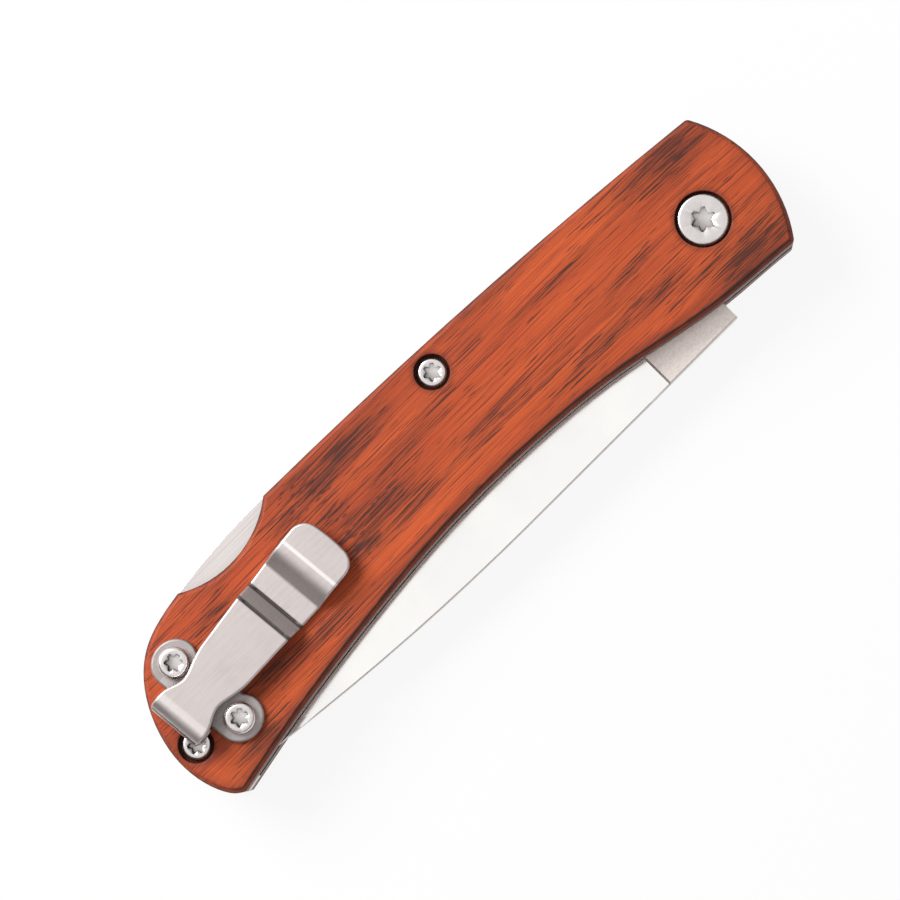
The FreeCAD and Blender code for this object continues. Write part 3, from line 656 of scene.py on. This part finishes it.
def pore_marks(grain, crowd):
    """Separate short marks, one to a cell, larger where pores crowd together."""
    pull = vector("MULTIPLY", grain, PORES_PER_MM)
    cells = add(pull, "ShaderNodeTexVoronoi", {"Vector": pull, "Scale": 1.0})
    reach = plus_share(PORE_SIZE, crowd, PORE_GROWTH)
    share = calc("DIVIDE", cells.outputs["Distance"], reach)
    mark = times(fading(share, *PORE_SPAN), PORE_DARK)
    return times(mark, ramp(crowd, PORES_FROM, PORES_TO))


print("grain helpers ready")

# %% Wood colour
WOOD_BASE = (220, 98, 49)
# Layers of streaks: along, across, detail, shift, from, to, strength, and the stain they leave
GRAIN_LAYERS = [
    (0.012, 0.16, 2.0, 3.0, 0.35, 0.65, 1.0, (200, 84, 43)),
    (0.02, 0.3, 2.0, 17.0, 0.45, 0.72, 0.35, (152, 60, 36)),
    (0.03, 0.8, 3.0, 7.0, 0.46, 0.74, 0.42, (142, 54, 33)),
    (6.0, 6.0, 1.0, 91.0, 0.35, 0.65, 0.22, (170, 70, 38)),
    (0.06, 6.0, 2.0, 23.0, 0.52, 0.75, 0.3, (232, 114, 58)),
    (0.05, 5.5, 3.0, 11.0, 0.46, 0.64, 0.55, (146, 58, 36)),
]
OPEN_LINES = (0.05, 3.4, 1.0, 37.0, 0.62, 0.68, 0.75)
OPEN_DASHES = (0.22, 5.0, 1.0, 79.0, 0.65, 0.71, 0.75)
# Dark lines in figured wood: along, across, detail, shift and where they begin
SMOKE_LINES = (0.13, 3.7, 2.0, 51.0, 0.665)
THREAD_LINES = (0.1, 6.5, 2.0, 61.0, 0.65)
# Other stains, and their strength where it is less than 1
LINE_STAIN, DASH_STAIN, PORE_STAIN = (98, 44, 34), (70, 38, 31), (48, 30, 27)
FIGURE_STAIN = (104, 48, 35), 0.55
SMOKE_STAIN = (54, 33, 28), 0.85
THREAD_STAIN = (84, 42, 32), 0.6


def stain_or_painted_light(under, amount, tint, strength=1.0):
    """A colour laid on by an amount: real stains, and painted shade and highlights, alike."""
    return blend(times(amount, strength), under, linear(*tint))


def wood_colour(grain, lines, dashes):
    colour = linear(*WOOD_BASE)
    for *layer, tint in GRAIN_LAYERS:
        colour = stain_or_painted_light(colour, grain_layer(grain, *layer), tint)
    figure = own_value(grain, "figure")
    colour = stain_or_painted_light(colour, lines, LINE_STAIN)
    colour = stain_or_painted_light(colour, figure, *FIGURE_STAIN)
    colour = stain_or_painted_light(colour, dark_lines(grain, figure, *SMOKE_LINES), *SMOKE_STAIN)
    colour = stain_or_painted_light(colour, dark_lines(grain, figure, *THREAD_LINES), *THREAD_STAIN)
    colour = stain_or_painted_light(colour, pore_marks(grain, own_value(grain, "pores")), PORE_STAIN)
    return stain_or_painted_light(colour, dashes, DASH_STAIN)


print("layers of streaks:", len(GRAIN_LAYERS))

# %% Edge stains, painted shade and oil
SCALE_CHAMFER = 0.55
CORNER_WIDTH, RIM_WIDTH, EDGE_PATCHES = 0.3, 0.34, 2.5
# Painted shade: a dark band along the belly, which faces away from the light
BELLY_SHADE, BELLY_SHADE_TO = ((92, 44, 33), 0.4), 2.2
# Painted shade that darkens the plate towards all its edges
EDGE_SHADE, EDGE_SHADE_SPAN = ((118, 52, 36), 0.3), (0.2, 2.4)
# Painted shade on the chamfer, heavier along the belly
WALL_SHADE, WALL_FADE, WALL_LEAST, WALL_BELLY = (120, 56, 40), 0.15, 0.15, 0.25
# A dark line of painted shade on the chamfer's corner, along the belly only
CORNER_SHADE = (48, 30, 26), 0.92
RIM_STAIN, RIM_MOST, RIM_BELLY = (58, 34, 28), 0.8, -0.6
# A darker ring on the plate round each counterbore
HALO_DARKENING, HALO_SPAN = ((92, 42, 31), 0.4), (0.1, 1.0)
# Painted shade inside the counterbores
BORE_SHADE, BORE_SPAN = (104, 54, 41), (0.0, 0.14)
OIL_ROUGH, OIL_SPREAD, OIL_PATCHES, OIL_SHINE = 0.46, 0.08, 14.0, 0.25
LINES_DULL, HOLLOW_DEPTH, HOLLOW_STRENGTH = 0.2, 0.03, 0.5


def edge_stains_and_shade(place, colour):
    """Painted shade at the edges and bores, a dark rim line, and a ring round each bore."""
    edge_mm, bore_mm, belly = (own_value(place, name) for name in ("edge_mm", "bore_mm", "belly"))
    belly_shade = times(fading(edge_mm, SCALE_CHAMFER, BELLY_SHADE_TO), belly)
    colour = stain_or_painted_light(colour, belly_shade, *BELLY_SHADE)
    colour = stain_or_painted_light(colour, fading(edge_mm, *EDGE_SHADE_SPAN), *EDGE_SHADE)
    wall = fading(edge_mm, SCALE_CHAMFER - WALL_FADE, SCALE_CHAMFER)
    wall = times(wall, plus_share(WALL_LEAST, belly, WALL_BELLY))
    colour = stain_or_painted_light(colour, wall, WALL_SHADE)
    uneven = use(smudges, place, EDGE_PATCHES)
    off_corner = calc("ABSOLUTE", minus(edge_mm, SCALE_CHAMFER))
    corner = times(use(edge_band, off_corner, CORNER_WIDTH, uneven), belly)
    colour = stain_or_painted_light(colour, corner, *CORNER_SHADE)
    rim = use(edge_band, edge_mm, RIM_WIDTH, uneven)
    rim = times(rim, plus_share(RIM_MOST, belly, RIM_BELLY))
    colour = stain_or_painted_light(colour, rim, RIM_STAIN)
    colour = stain_or_painted_light(colour, fading(bore_mm, *HALO_SPAN), *HALO_DARKENING)
    return stain_or_painted_light(colour, fading(bore_mm, *BORE_SPAN), BORE_SHADE)


def rosewood():
    """Oiled rosewood, with open grain that dulls the shine."""
    material, shader, place = start_material("rosewood_oiled")
    grain = bent_grain(place)
    lines, dashes = (grain_layer(grain, *layer) for layer in (OPEN_LINES, OPEN_DASHES))
    colour = wood_colour(grain, lines, dashes)
    shine = plus_share(OIL_ROUGH, use(smudges, place, OIL_PATCHES), OIL_SPREAD)
    hollows = bumps(calc("ADD", lines, dashes), HOLLOW_DEPTH, HOLLOW_STRENGTH, invert=True)
    set_inputs(shader, {
        "Base Color": edge_stains_and_shade(place, colour), "Normal": hollows,
        "Roughness": plus_share(shine, lines, LINES_DULL), "Specular IOR Level": OIL_SHINE})
    return material


rosewood_oiled = rosewood()
stand_in(near_scale, ["clip_side_scale"], "handle", rosewood_oiled)
stand_in(far_scale, ["far_side_scale"], "handle", rosewood_oiled)

# %% [markdown]
# ## Steel finishes
#
# Nearly all the metal is steel, and the washers are bronze. One recipe covers ground liners,
# a brushed lock bar, a stamped satin clip and turned screws: metal takes nearly all its look from
# what it reflects, so the recipe varies how it is brushed and how rough it is. A piece may carry
# a value of painted shade, which dulls and darkens it, and have soft lines of painted shade and of
# painted highlight.

# %% Steel finishes
# The colours of painted shade and of painted highlights on steel
PAINTED_SHADE_COLOUR, PAINTED_HIGHLIGHT = (62, 57, 53), (250, 248, 246)
BRUSH_DETAIL, BRUSH_SHIFT = 3.0, 5.0
SHINE_SPREAD, PAINTED_SHADE_DULLS, BRUSH_BUMP = 0.16, 0.2, 0.6
# Name, colour and worn colour, roughness, brush marks per mm along and across, share of brushing
# in the unevenness, depth of the marks and size of the smudges in mm
FINISHES = [
    ("liner_ground_steel", (118, 108, 102), (94, 86, 81), 0.42, 0.25, 5.0, 0.7, 0.01, 5.0),
    ("lock_brushed_steel", (220, 213, 211), (186, 179, 177), 0.36, 0.05, 5.0, 0.85, 0.014, 6.0),
    ("spring_tempered_steel", (120, 120, 124), (92, 92, 98), 0.38, 0.08, 6.0, 0.6, 0.01, 6.0),
    ("screw_turned_steel", (222, 217, 215), (202, 196, 194), 0.28, 3.0, 3.0, 0.5, 0.008, 1.5),
    ("washer_plain_bronze", (190, 150, 104), (166, 126, 84), 0.36, 2.0, 2.0, 0.5, 0.006, 3.0),
]


def line_mark(place, way, at, half_width, strength):
    """A soft line across the piece, where its run along a way reaches a place in mm."""
    run = add(place, "ShaderNodeVectorMath", {0: place, 1: way}, operation="DOT_PRODUCT")
    off = calc("ABSOLUTE", minus(run.outputs["Value"], at))
    return times(fading(off, half_width / 3, half_width), strength)


def steel(name, colour, worn_colour, rough, along, across, brushing, depth, smudge_size,
          shade_lines=(), highlight_lines=()):
    """A steel finish: brushed along X, uneven in shine, with lines of painted shade and highlight
    across it.
    """
    material, shader, place = start_material(name)
    brushed = use(streaks, place, along, across, BRUSH_DETAIL, BRUSH_SHIFT)
    marks = times(ramp(brushed, *NOISE_SPAN), brushing)
    shine = plus_share(marks, use(smudges, place, smudge_size), 1 - brushing)
    bare = blend(shine, linear(*colour), linear(*worn_colour))
    # Each bright line is a painted highlight
    for mark in highlight_lines:
        bare = stain_or_painted_light(bare, line_mark(place, *mark), PAINTED_HIGHLIGHT)
    # Painted shade from the piece's own value and from the shade lines
    painted_shade = own_value(place, "painted_shade")
    for mark in shade_lines:
        painted_shade = calc("MAXIMUM", painted_shade, line_mark(place, *mark))
    dull = plus_share(rough, painted_shade, PAINTED_SHADE_DULLS)
    uneven = plus_share(dull, minus(shine, 0.5), SHINE_SPREAD)
    set_inputs(shader, {"Base Color": stain_or_painted_light(bare, painted_shade, PAINTED_SHADE_COLOUR), "Roughness": uneven,
                        "Normal": bumps(brushed, depth, BRUSH_BUMP), "Metallic": 1.0})
    return material


liner_ground, lock_brushed, spring_tempered, screw_turned, washer_bronze = (
    steel(*finish) for finish in FINISHES)
print("metal finishes:", [finish[0] for finish in FINISHES])

# %% [markdown]
# ## Liners, lock bar, spring and spacer
#
# These are plain profiles cut from sheet and bar, ground and deburred. They could be drawn anew,
# but their CAD outlines are exact, so their copies only get a small round on their edges.

# %% Liners, lock bar, spring and spacer
for node, slot, material, body, width in [
    ("clip_side_liner", "liner_steel", liner_ground, "handle", 0.08),
    ("far_side_liner", "liner_steel", liner_ground, "handle", 0.08),
    ("butt_spacer", "lock_steel", lock_brushed, "handle", 0.06),
    ("lock_bar", "lock_steel", lock_brushed, "lock_bar", 0.05),
    ("lock_spring", "spring_steel", spring_tempered, "lock_spring", 0.08),
]:
    dressed = shade(soften(merged_copy(node, node + "_finished"), width))
    stand_in(dressed, [node], body, material)

# %% [markdown]
# ## Blade
#
# The ricasso is left satin and the grind is polished like a mirror, with a crisp plunge line
# between. The spine is satin too, and its long edges are eased so that they don't cut the thumb.
# A value on each face says whether it is ground or spine, so one material covers the whole blade.

# %% Blade finish
SATIN_MARKS = (2.5, 6.0, 3.0, 2.0)
SATIN, SATIN_WORN, SPINE_SATIN = (228, 218, 212), (212, 202, 196), (214, 207, 204)
POLISH, POLISH_WORN = (252, 250, 247), (247, 245, 243)
SATIN_ROUGH, SATIN_SPREAD, SATIN_DEPTH = 0.40, 0.1, 0.01
POLISH_ROUGH, POLISH_SPREAD, POLISH_PATCHES, POLISH_FLATTENS = 0.10, 0.05, 9.0, -0.93


def blade_steel():
    material, shader, place = start_material("blade_satin_and_polish")
    ground, spine = own_value(place, "ground"), own_value(place, "spine")
    satin = use(streaks, place, *SATIN_MARKS)
    patches = use(smudges, place, POLISH_PATCHES)
    flat = blend(ramp(satin, *NOISE_SPAN), linear(*SATIN), linear(*SATIN_WORN))
    flat = stain_or_painted_light(flat, spine, SPINE_SATIN)
    polish = blend(patches, linear(*POLISH), linear(*POLISH_WORN))
    rough_flat = plus_share(SATIN_ROUGH, satin, SATIN_SPREAD)
    rough_ground = plus_share(POLISH_ROUGH, patches, POLISH_SPREAD)
    gap = minus(rough_ground, rough_flat)
    height = times(satin, plus_share(1.0, ground, POLISH_FLATTENS))
    set_inputs(shader, {
        "Base Color": blend(ground, flat, polish), "Roughness": plus_share(rough_flat, gap, ground),
        "Normal": bumps(height, SATIN_DEPTH, BRUSH_BUMP), "Metallic": 1.0})
    return material


blade_satin = blade_steel()
print("blade finish:", blade_satin.name)

# %% Blade
# Shares of a face's normal: along Z on the flats and the grind, along Y on the spine, X at an end
FLAT_OF_BLADE, GRIND_FACE, STEEP_FACE, SPINE_FACE, END_FACE = 0.99995, 0.9, 0.9, -0.15, 0.2
SPINE_EASING, SPINE_END = 0.22, 40 * MM
BLADE_SHARP = 0.8


def weigh_spine(piece):
    """Weighs the spine's long edges, which are to be eased."""
    with reshaping(piece.data) as work:
        weight = work.edges.layers.float.new("bevel_weight_edge")
        for edge in work.edges:
            normals = [face.normal for face in edge.link_faces]
            if sorted(n.y < -STEEP_FACE for n in normals) != [False, True]:
                continue
            if max(v.co.x for v in edge.verts) > SPINE_END:
                continue
            along_spine = min(abs(n.x) for n in normals) < END_FACE
            if along_spine and max(abs(n.z) for n in normals) > STEEP_FACE:
                edge[weight] = 1.0


def mark_faces(piece, name, rule):
    """A value of 1 on the faces whose normal follows a rule, and 0 on the others."""
    attribute = piece.data.attributes.new(name, "FLOAT", "FACE")
    attribute.data.foreach_set("value", [float(rule(f.normal)) for f in piece.data.polygons])


blade = merged_copy("blade", "blade_finished")
weigh_spine(blade)
blade = shade(soften(blade, SPINE_EASING, by="WEIGHT"), sharp_from=BLADE_SHARP)
mark_faces(blade, "ground", lambda n: GRIND_FACE < abs(n.z) < FLAT_OF_BLADE and n.y > SPINE_FACE)
mark_faces(blade, "spine", lambda n: n.y < SPINE_FACE)
stand_in(blade, ["blade"], "blade", blade_satin)

# %% [markdown]
# ## Screws
#
# Seven screws share one form: a round head with a softened rim, a countersunk six-lobe recess and a
# plain shank. That is a rule, so a Geometry Nodes tree makes it: a flat grid is rolled up, each row
# of the grid becoming a ring whose radius and height come from the screw's sizes, and the recess
# rings swell six times round. The tree sets one screw on every point it is given, turned as the
# point says.

# %% Screw rings
SCREW_SIZES = ["Head Radius", "Head Height", "Rim Round", "Star Radius", "Recess Depth",
               "Countersink Radius", "Shank Radius", "Shank Length"]
RIM_RINGS = 6
LIP_SHARE = 0.13
FLOOR_SHARES = [(0.4, 0), (0.78, 1), (0.97, 1)]


def screw_rings(size):
    """Radius, height and star share of each ring, from the recess's middle to the shank's end."""
    top, star, rim = size["Head Height"], size["Star Radius"], size["Rim Round"]
    floor = minus(top, size["Recess Depth"])
    lip = plus_share(top, size["Recess Depth"], -LIP_SHARE)
    rim_middle = minus(size["Head Radius"], rim)
    rim_low = minus(top, rim)
    end = times(size["Shank Length"], -1.0)
    rings = [(0.0, floor, 0)]
    rings += [(times(star, share), floor, lobed) for share, lobed in FLOOR_SHARES]
    rings += [(star, lip, 1), (size["Countersink Radius"], top, 0)]
    for step in range(RIM_RINGS + 1):
        angle = math.pi / 2 * step / RIM_RINGS
        wide = plus_share(rim_middle, rim, math.sin(angle))
        wide = calc("MAXIMUM", wide, size["Countersink Radius"])
        rings.append((wide, plus_share(rim_low, rim, math.cos(angle)), 0))
    rings += [(size["Head Radius"], 0.0, 0), (size["Shank Radius"], 0.0, 0),
              (size["Shank Radius"], end, 0), (0.0, end, 0)]
    return rings


def by_ring(ring, values):
    """Picks one of the values by the ring's number."""
    switch = add(ring, "GeometryNodeIndexSwitch", data_type="FLOAT")
    while len(switch.index_switch_items) < len(values):
        switch.index_switch_items.new()
    for number, value in enumerate([ring, *values]):
        feed(value, switch.inputs[number])
    return switch.outputs[0]


print("sizes of a screw:", len(SCREW_SIZES))

# %% Screw tree
RING_STEPS = 97
LOBES, LOBE_DEPTH = 6.0, 0.36
# Painted shade on the recess's rings, from its middle outwards, and the side where it is heaviest
RECESS_SHADE = [0.2, 0.22, 0.28, 0.55, 0.4]
SHADED_SIDE = math.radians(150)
WELD = 1e-6


def step_on(kind, shape, **values):
    """The shape after one geometry node."""
    return add(shape, "GeometryNode" + kind, {"Geometry": shape, **values}).outputs[0]


def rolled_screw(tree, size):
    """One screw: a grid rolled up, with painted shade in its recess, and welded shut."""
    rings = screw_rings(size)
    radii, heights, stars = zip(*rings)
    grid = add(tree, "GeometryNodeMeshGrid", {"Vertices X": len(rings), "Vertices Y": RING_STEPS})
    index = add(tree, "GeometryNodeInputIndex").outputs[0]
    ring = calc("FLOOR", calc("DIVIDE", calc("ADD", index, 0.5), RING_STEPS))
    step = minus(index, times(ring, RING_STEPS))
    angle = times(step, 2 * math.pi / (RING_STEPS - 1))
    wave = calc("COSINE", times(angle, LOBES))
    hollow = times(calc("ARCCOSINE", wave), LOBE_DEPTH / math.pi)
    starred = by_ring(ring, [float(star) for star in stars])
    swell = minus(1.0, times(hollow, starred))
    reach = times(by_ring(ring, radii), swell)
    x = times(reach, calc("COSINE", angle))
    y = times(reach, calc("SINE", angle))
    place = add(tree, "ShaderNodeCombineXYZ", {0: x, 1: y, 2: by_ring(ring, heights)}).outputs[0]
    rolled = step_on("SetPosition", grid.outputs[0], Position=place)
    recess_shade = by_ring(ring, RECESS_SHADE + [0.0] * (len(rings) - len(RECESS_SHADE)))
    off_side = calc("COSINE", minus(angle, SHADED_SIDE))
    amount = times(recess_shade, calc("ADD", 1.0, off_side))
    grimy = step_on("StoreNamedAttribute", rolled, Name="painted_shade", Value=amount)
    return step_on("MergeByDistance", grimy, Distance=WELD)


def screw_tree(material):
    """The tree: its named sizes, one screw, and a real copy of it on every point."""
    tree = bpy.data.node_groups.new("six_lobe_screw", "GeometryNodeTree")
    geometry = "NodeSocketGeometry"
    tree.interface.new_socket(name="Places", in_out="INPUT", socket_type=geometry)
    for title in SCREW_SIZES:
        tree.interface.new_socket(name=title, in_out="INPUT", socket_type=FLOAT)
    tree.interface.new_socket(name="Screws", in_out="OUTPUT", socket_type=geometry)
    given = add(tree, "NodeGroupInput").outputs
    result = add(tree, "NodeGroupOutput").inputs
    turn = add(tree, "GeometryNodeInputNamedAttribute", {"Name": "turn"}, data_type="FLOAT_VECTOR")
    rotation = add(tree, "FunctionNodeEulerToRotation", {0: turn.outputs[0]})
    placed = add(tree, "GeometryNodeInstanceOnPoints",
                 {"Points": given["Places"], "Instance": rolled_screw(tree, given),
                  "Rotation": rotation.outputs[0]})
    real = step_on("RealizeInstances", placed.outputs[0])
    feed(step_on("SetMaterial", real, Material=material), result["Screws"])
    return tree


six_lobe_screw = screw_tree(screw_turned)
print("screw tree nodes:", len(six_lobe_screw.nodes))

# %% [markdown]
# ## Setting the screws
#
# Each screw sits where its CAD screw does, with a shank as long. Its star is turned as the driver
# left it, and a screw on the far side is turned over.

# %% Set the screws
SCREW_SHARP = 34
# The first seven sizes in mm, and how far each CAD screw's star is turned, in degrees
SCREWS = {
    "body_screws": ((2.05, 1.4, 0.5, 1.25, 0.95, 1.3, 1.1),
                    {"rocker_screw_clip_side": 46, "rocker_screw_far_side": 40,
                     "butt_screw_clip_side": 25, "butt_screw_far_side": 5}),
    "clip_screws": ((2.2, 1.4, 0.58, 1.28, 0.95, 1.31, 1.2),
                    {"clip_screw_back": 15, "clip_screw_belly": 45}),
    "pivot_screw_finished": ((3.55, 1.5, 0.45, 1.68, 1.15, 1.76, 1.5), {"pivot_screw": 43}),
}


def set_screws(name, sizes, star_turns):
    head = sizes[1]
    seats, turns = [], []
    for node, star_turn in star_turns.items():
        low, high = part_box(node)
        over = "far_side" in node
        seats.append((*box_middle(node).xy, low.z + head * MM if over else high.z - head * MM))
        turns += [math.pi if over else 0.0, 0.0, math.radians(star_turn)]
    shank = (high.z - low.z) / MM - head
    mesh = bpy.data.meshes.new(name)
    mesh.from_pydata(seats, [], [])
    mesh.attributes.new("turn", "FLOAT_VECTOR", "POINT").data.foreach_set("vector", turns)
    piece = put_in_scene(name, mesh)
    modifier = piece.modifiers.new("screws", "NODES")
    modifier.node_group = six_lobe_screw
    sockets = six_lobe_screw.interface.items_tree
    for title, size in zip(SCREW_SIZES, (*sizes, shank)):
        modifier[sockets[title].identifier] = size * MM
    dressed = shade(finish_mesh(piece), sharp_from=SCREW_SHARP)
    stand_in(dressed, list(star_turns), "handle", screw_turned)


for name, screws in SCREWS.items():
    set_screws(name, *screws)

# %% [markdown]
# ## Pocket clip
#
# The clip is stamped from sheet and folded over, then tumbled until it is satin and its edges are
# round. Its folded end stays wide before the waist, and its ears are wider than a plain round, so
# the copy's points are moved there. Upper edges are rounded most, lower ones less and the creases
# of the step not at all, which one angle for all could not do, so each edge has a weight.

# %% Clip shape
# The creases' place: from and to along the clip, and half its width there, in mm
CREASE_PLACES = (11.0, 16.0, 3.75)
EAR_TOP = 0.92 * MM
EARS_FROM, EARS_TO = -3.3 * MM, 4.0 * MM
EAR_INSIDE, EAR_WIDER = 2.2 * MM, 0.1
FLARE_MIDDLE, FLARE_REACH, FLARE_SHARE = -3.1 * MM, 2.2 * MM, 0.27
FOLD_CORNER, FOLD_CORNER_REACH, FOLD_CORNER_SHARE = -5.9 * MM, 0.8 * MM, 0.1
RIM_ANGLE = math.radians(40)
UPPER_SHEET, UNDERSIDE_SHARE = 0.2, 0.5
# The clip's own middle, width and length directions come from its two screws
ear_middles = [box_middle(node) for node in ("clip_screw_back", "clip_screw_belly")]
clip_middle = (ear_middles[0] + ear_middles[1]) / 2
clip_width = (ear_middles[0] - ear_middles[1]).normalized()
clip_length = clip_width.cross(Vector((0, 0, 1)))


def along(place):
    return (place - clip_middle).dot(clip_length)


def across(place):
    return (place - clip_middle).dot(clip_width)


def in_creases(part):
    """Whether all points of an edge or face are where the step's creases are."""
    near, far, half_width = CREASE_PLACES
    return all(near < along(v.co) / MM < far and abs(across(v.co)) / MM < half_width
               for v in part.verts)


def flare_fold(work):
    """Keeps the folded end wide before the waist, rounds its corners and widens the ears."""
    for v in work.verts:
        s = along(v.co)
        if v.co.z < handle_top + EAR_TOP and EARS_FROM < s < EARS_TO:
            if min((v.co - ear).xy.length for ear in ear_middles) > EAR_INSIDE:
                v.co += clip_length * (s * EAR_WIDER)
            continue
        wider = FLARE_SHARE * math.exp(-((s - FLARE_MIDDLE) / FLARE_REACH) ** 2)
        past_corner = min(1.0, max(0.0, (FOLD_CORNER - s) / FOLD_CORNER_REACH))
        rounded = FOLD_CORNER_SHARE * past_corner ** 2
        v.co += clip_width * (across(v.co) * (wider - rounded))


def weigh_clip_edges(work):
    """Weighs the clip's edges that are to be rounded, the upper ones most."""
    weight = work.edges.layers.float.new("bevel_weight_edge")
    for edge in work.edges:
        if edge.calc_face_angle(0.0) < RIM_ANGLE or in_creases(edge):
            continue
        sheet = max(edge.link_faces, key=lambda face: abs(face.normal.z))
        edge[weight] = 1.0 if sheet.normal.z > UPPER_SHEET else UNDERSIDE_SHARE


print("clip's middle in mm:", [round(value / MM, 2) for value in clip_middle])

# %% [markdown]
# ## Clip finish
#
# Painted shade darkens the creases, and the ears that lie under the arm, and painted highlights
# brighten the crest of the tip and the fold's shoulder. The ears carry a value of painted shade.
# The others are soft lines in the finish, because marked strips of faces would need cuts through
# the round rim.

# %% Clip finish
CLIP_ROUND, CLIP_ROUND_STEPS, CLIP_SHARP = 0.34, 5, 40
SIDE_FACE, LEVEL_FACE = 0.99, 0.9999
CREST_FROM, CREST_AHEAD, SHOULDER = 20.0 * MM, 0.3, -4.35
# Painted shade on the ears under the clip's arm, the belly ear more than the back one
BACK_EAR_SHADE, BELLY_EAR_SHADE = 0.16, 0.34
# Painted shade on the two creases, and painted highlights on the tip's crest and the fold's
# shoulder
# Half width in mm and strength of each soft line
CREASE_MARK, CREST_MARK, SHOULDER_MARK = (0.42, 0.85), (0.38, 0.45), (0.75, 0.2)
CLIP_FINISH = ("clip_satin_steel", (198, 190, 188), (176, 168, 166),
               0.44, 0.15, 2.4, 0.4, 0.012, 5.0)


def crease_places(work):
    """How far along the clip its two creases run, in mm, from the flat ends of their grooves."""
    ends = [face for face in work.faces if abs(face.normal.dot(clip_width)) > SIDE_FACE]
    return sorted({round(along(f.calc_center_median()) / MM, 1) for f in ends if in_creases(f)})


def crest_place(work):
    """How far along the clip its raised tip begins, in mm."""
    level = [face for face in work.faces if face.normal.z > LEVEL_FACE]
    tips = [face for face in level if along(face.calc_center_median()) > CREST_FROM]
    tip = max(tips, key=lambda face: face.calc_area())
    return min(along(v.co) for v in tip.verts) / MM


def shade_ears(work):
    """Painted shade on the ears, which lie under the clip's arm, heavier on the belly ear."""
    painted_shade = work.faces.layers.float.new("painted_shade")
    for face in work.faces:
        centre = face.calc_center_median()
        low = max(v.co.z for v in face.verts) < handle_top + EAR_TOP
        if low and along(centre) < EARS_TO:
            face[painted_shade] = BELLY_EAR_SHADE if across(centre) < 0 else BACK_EAR_SHADE


clip = merged_copy("pocket_clip", "pocket_clip_finished")
with reshaping(clip.data) as work:
    creases, crest = crease_places(work), crest_place(work)
    shade_ears(work)
    flare_fold(work)
    weigh_clip_edges(work)
print("creases at", creases, "and crest at", round(crest, 2), "mm from the screws")
clip = shade(soften(clip, CLIP_ROUND, CLIP_ROUND_STEPS, by="WEIGHT"), sharp_from=CLIP_SHARP)
start = clip_middle.dot(clip_length) / MM
clip_satin = steel(
    *CLIP_FINISH,
    shade_lines=[(clip_length, start + crease, *CREASE_MARK) for crease in creases],
    highlight_lines=[(clip_length, start + crest + CREST_AHEAD, *CREST_MARK),
                  (clip_length, start + SHOULDER, *SHOULDER_MARK)])
stand_in(clip, ["pocket_clip"], "handle", clip_satin)

# %% [markdown]
# ## Hidden hardware
#
# Sleeves, washers, the dowel and the pivot barrel are turned parts whose CAD shape is already
# right, so they only get their finish.

# %% Hidden hardware
HIDDEN_HARDWARE = ["pivot_barrel", "rocker_sleeve", "butt_sleeve", "spacer_dowel",
                   "clip_side_washer", "far_side_washer"]
for node in HIDDEN_HARDWARE:
    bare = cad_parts[node]
    bare.data.materials.clear()
    bare.data.materials.append(washer_bronze if "washer" in node else screw_turned)
print("finished CAD pieces:", len(HIDDEN_HARDWARE))
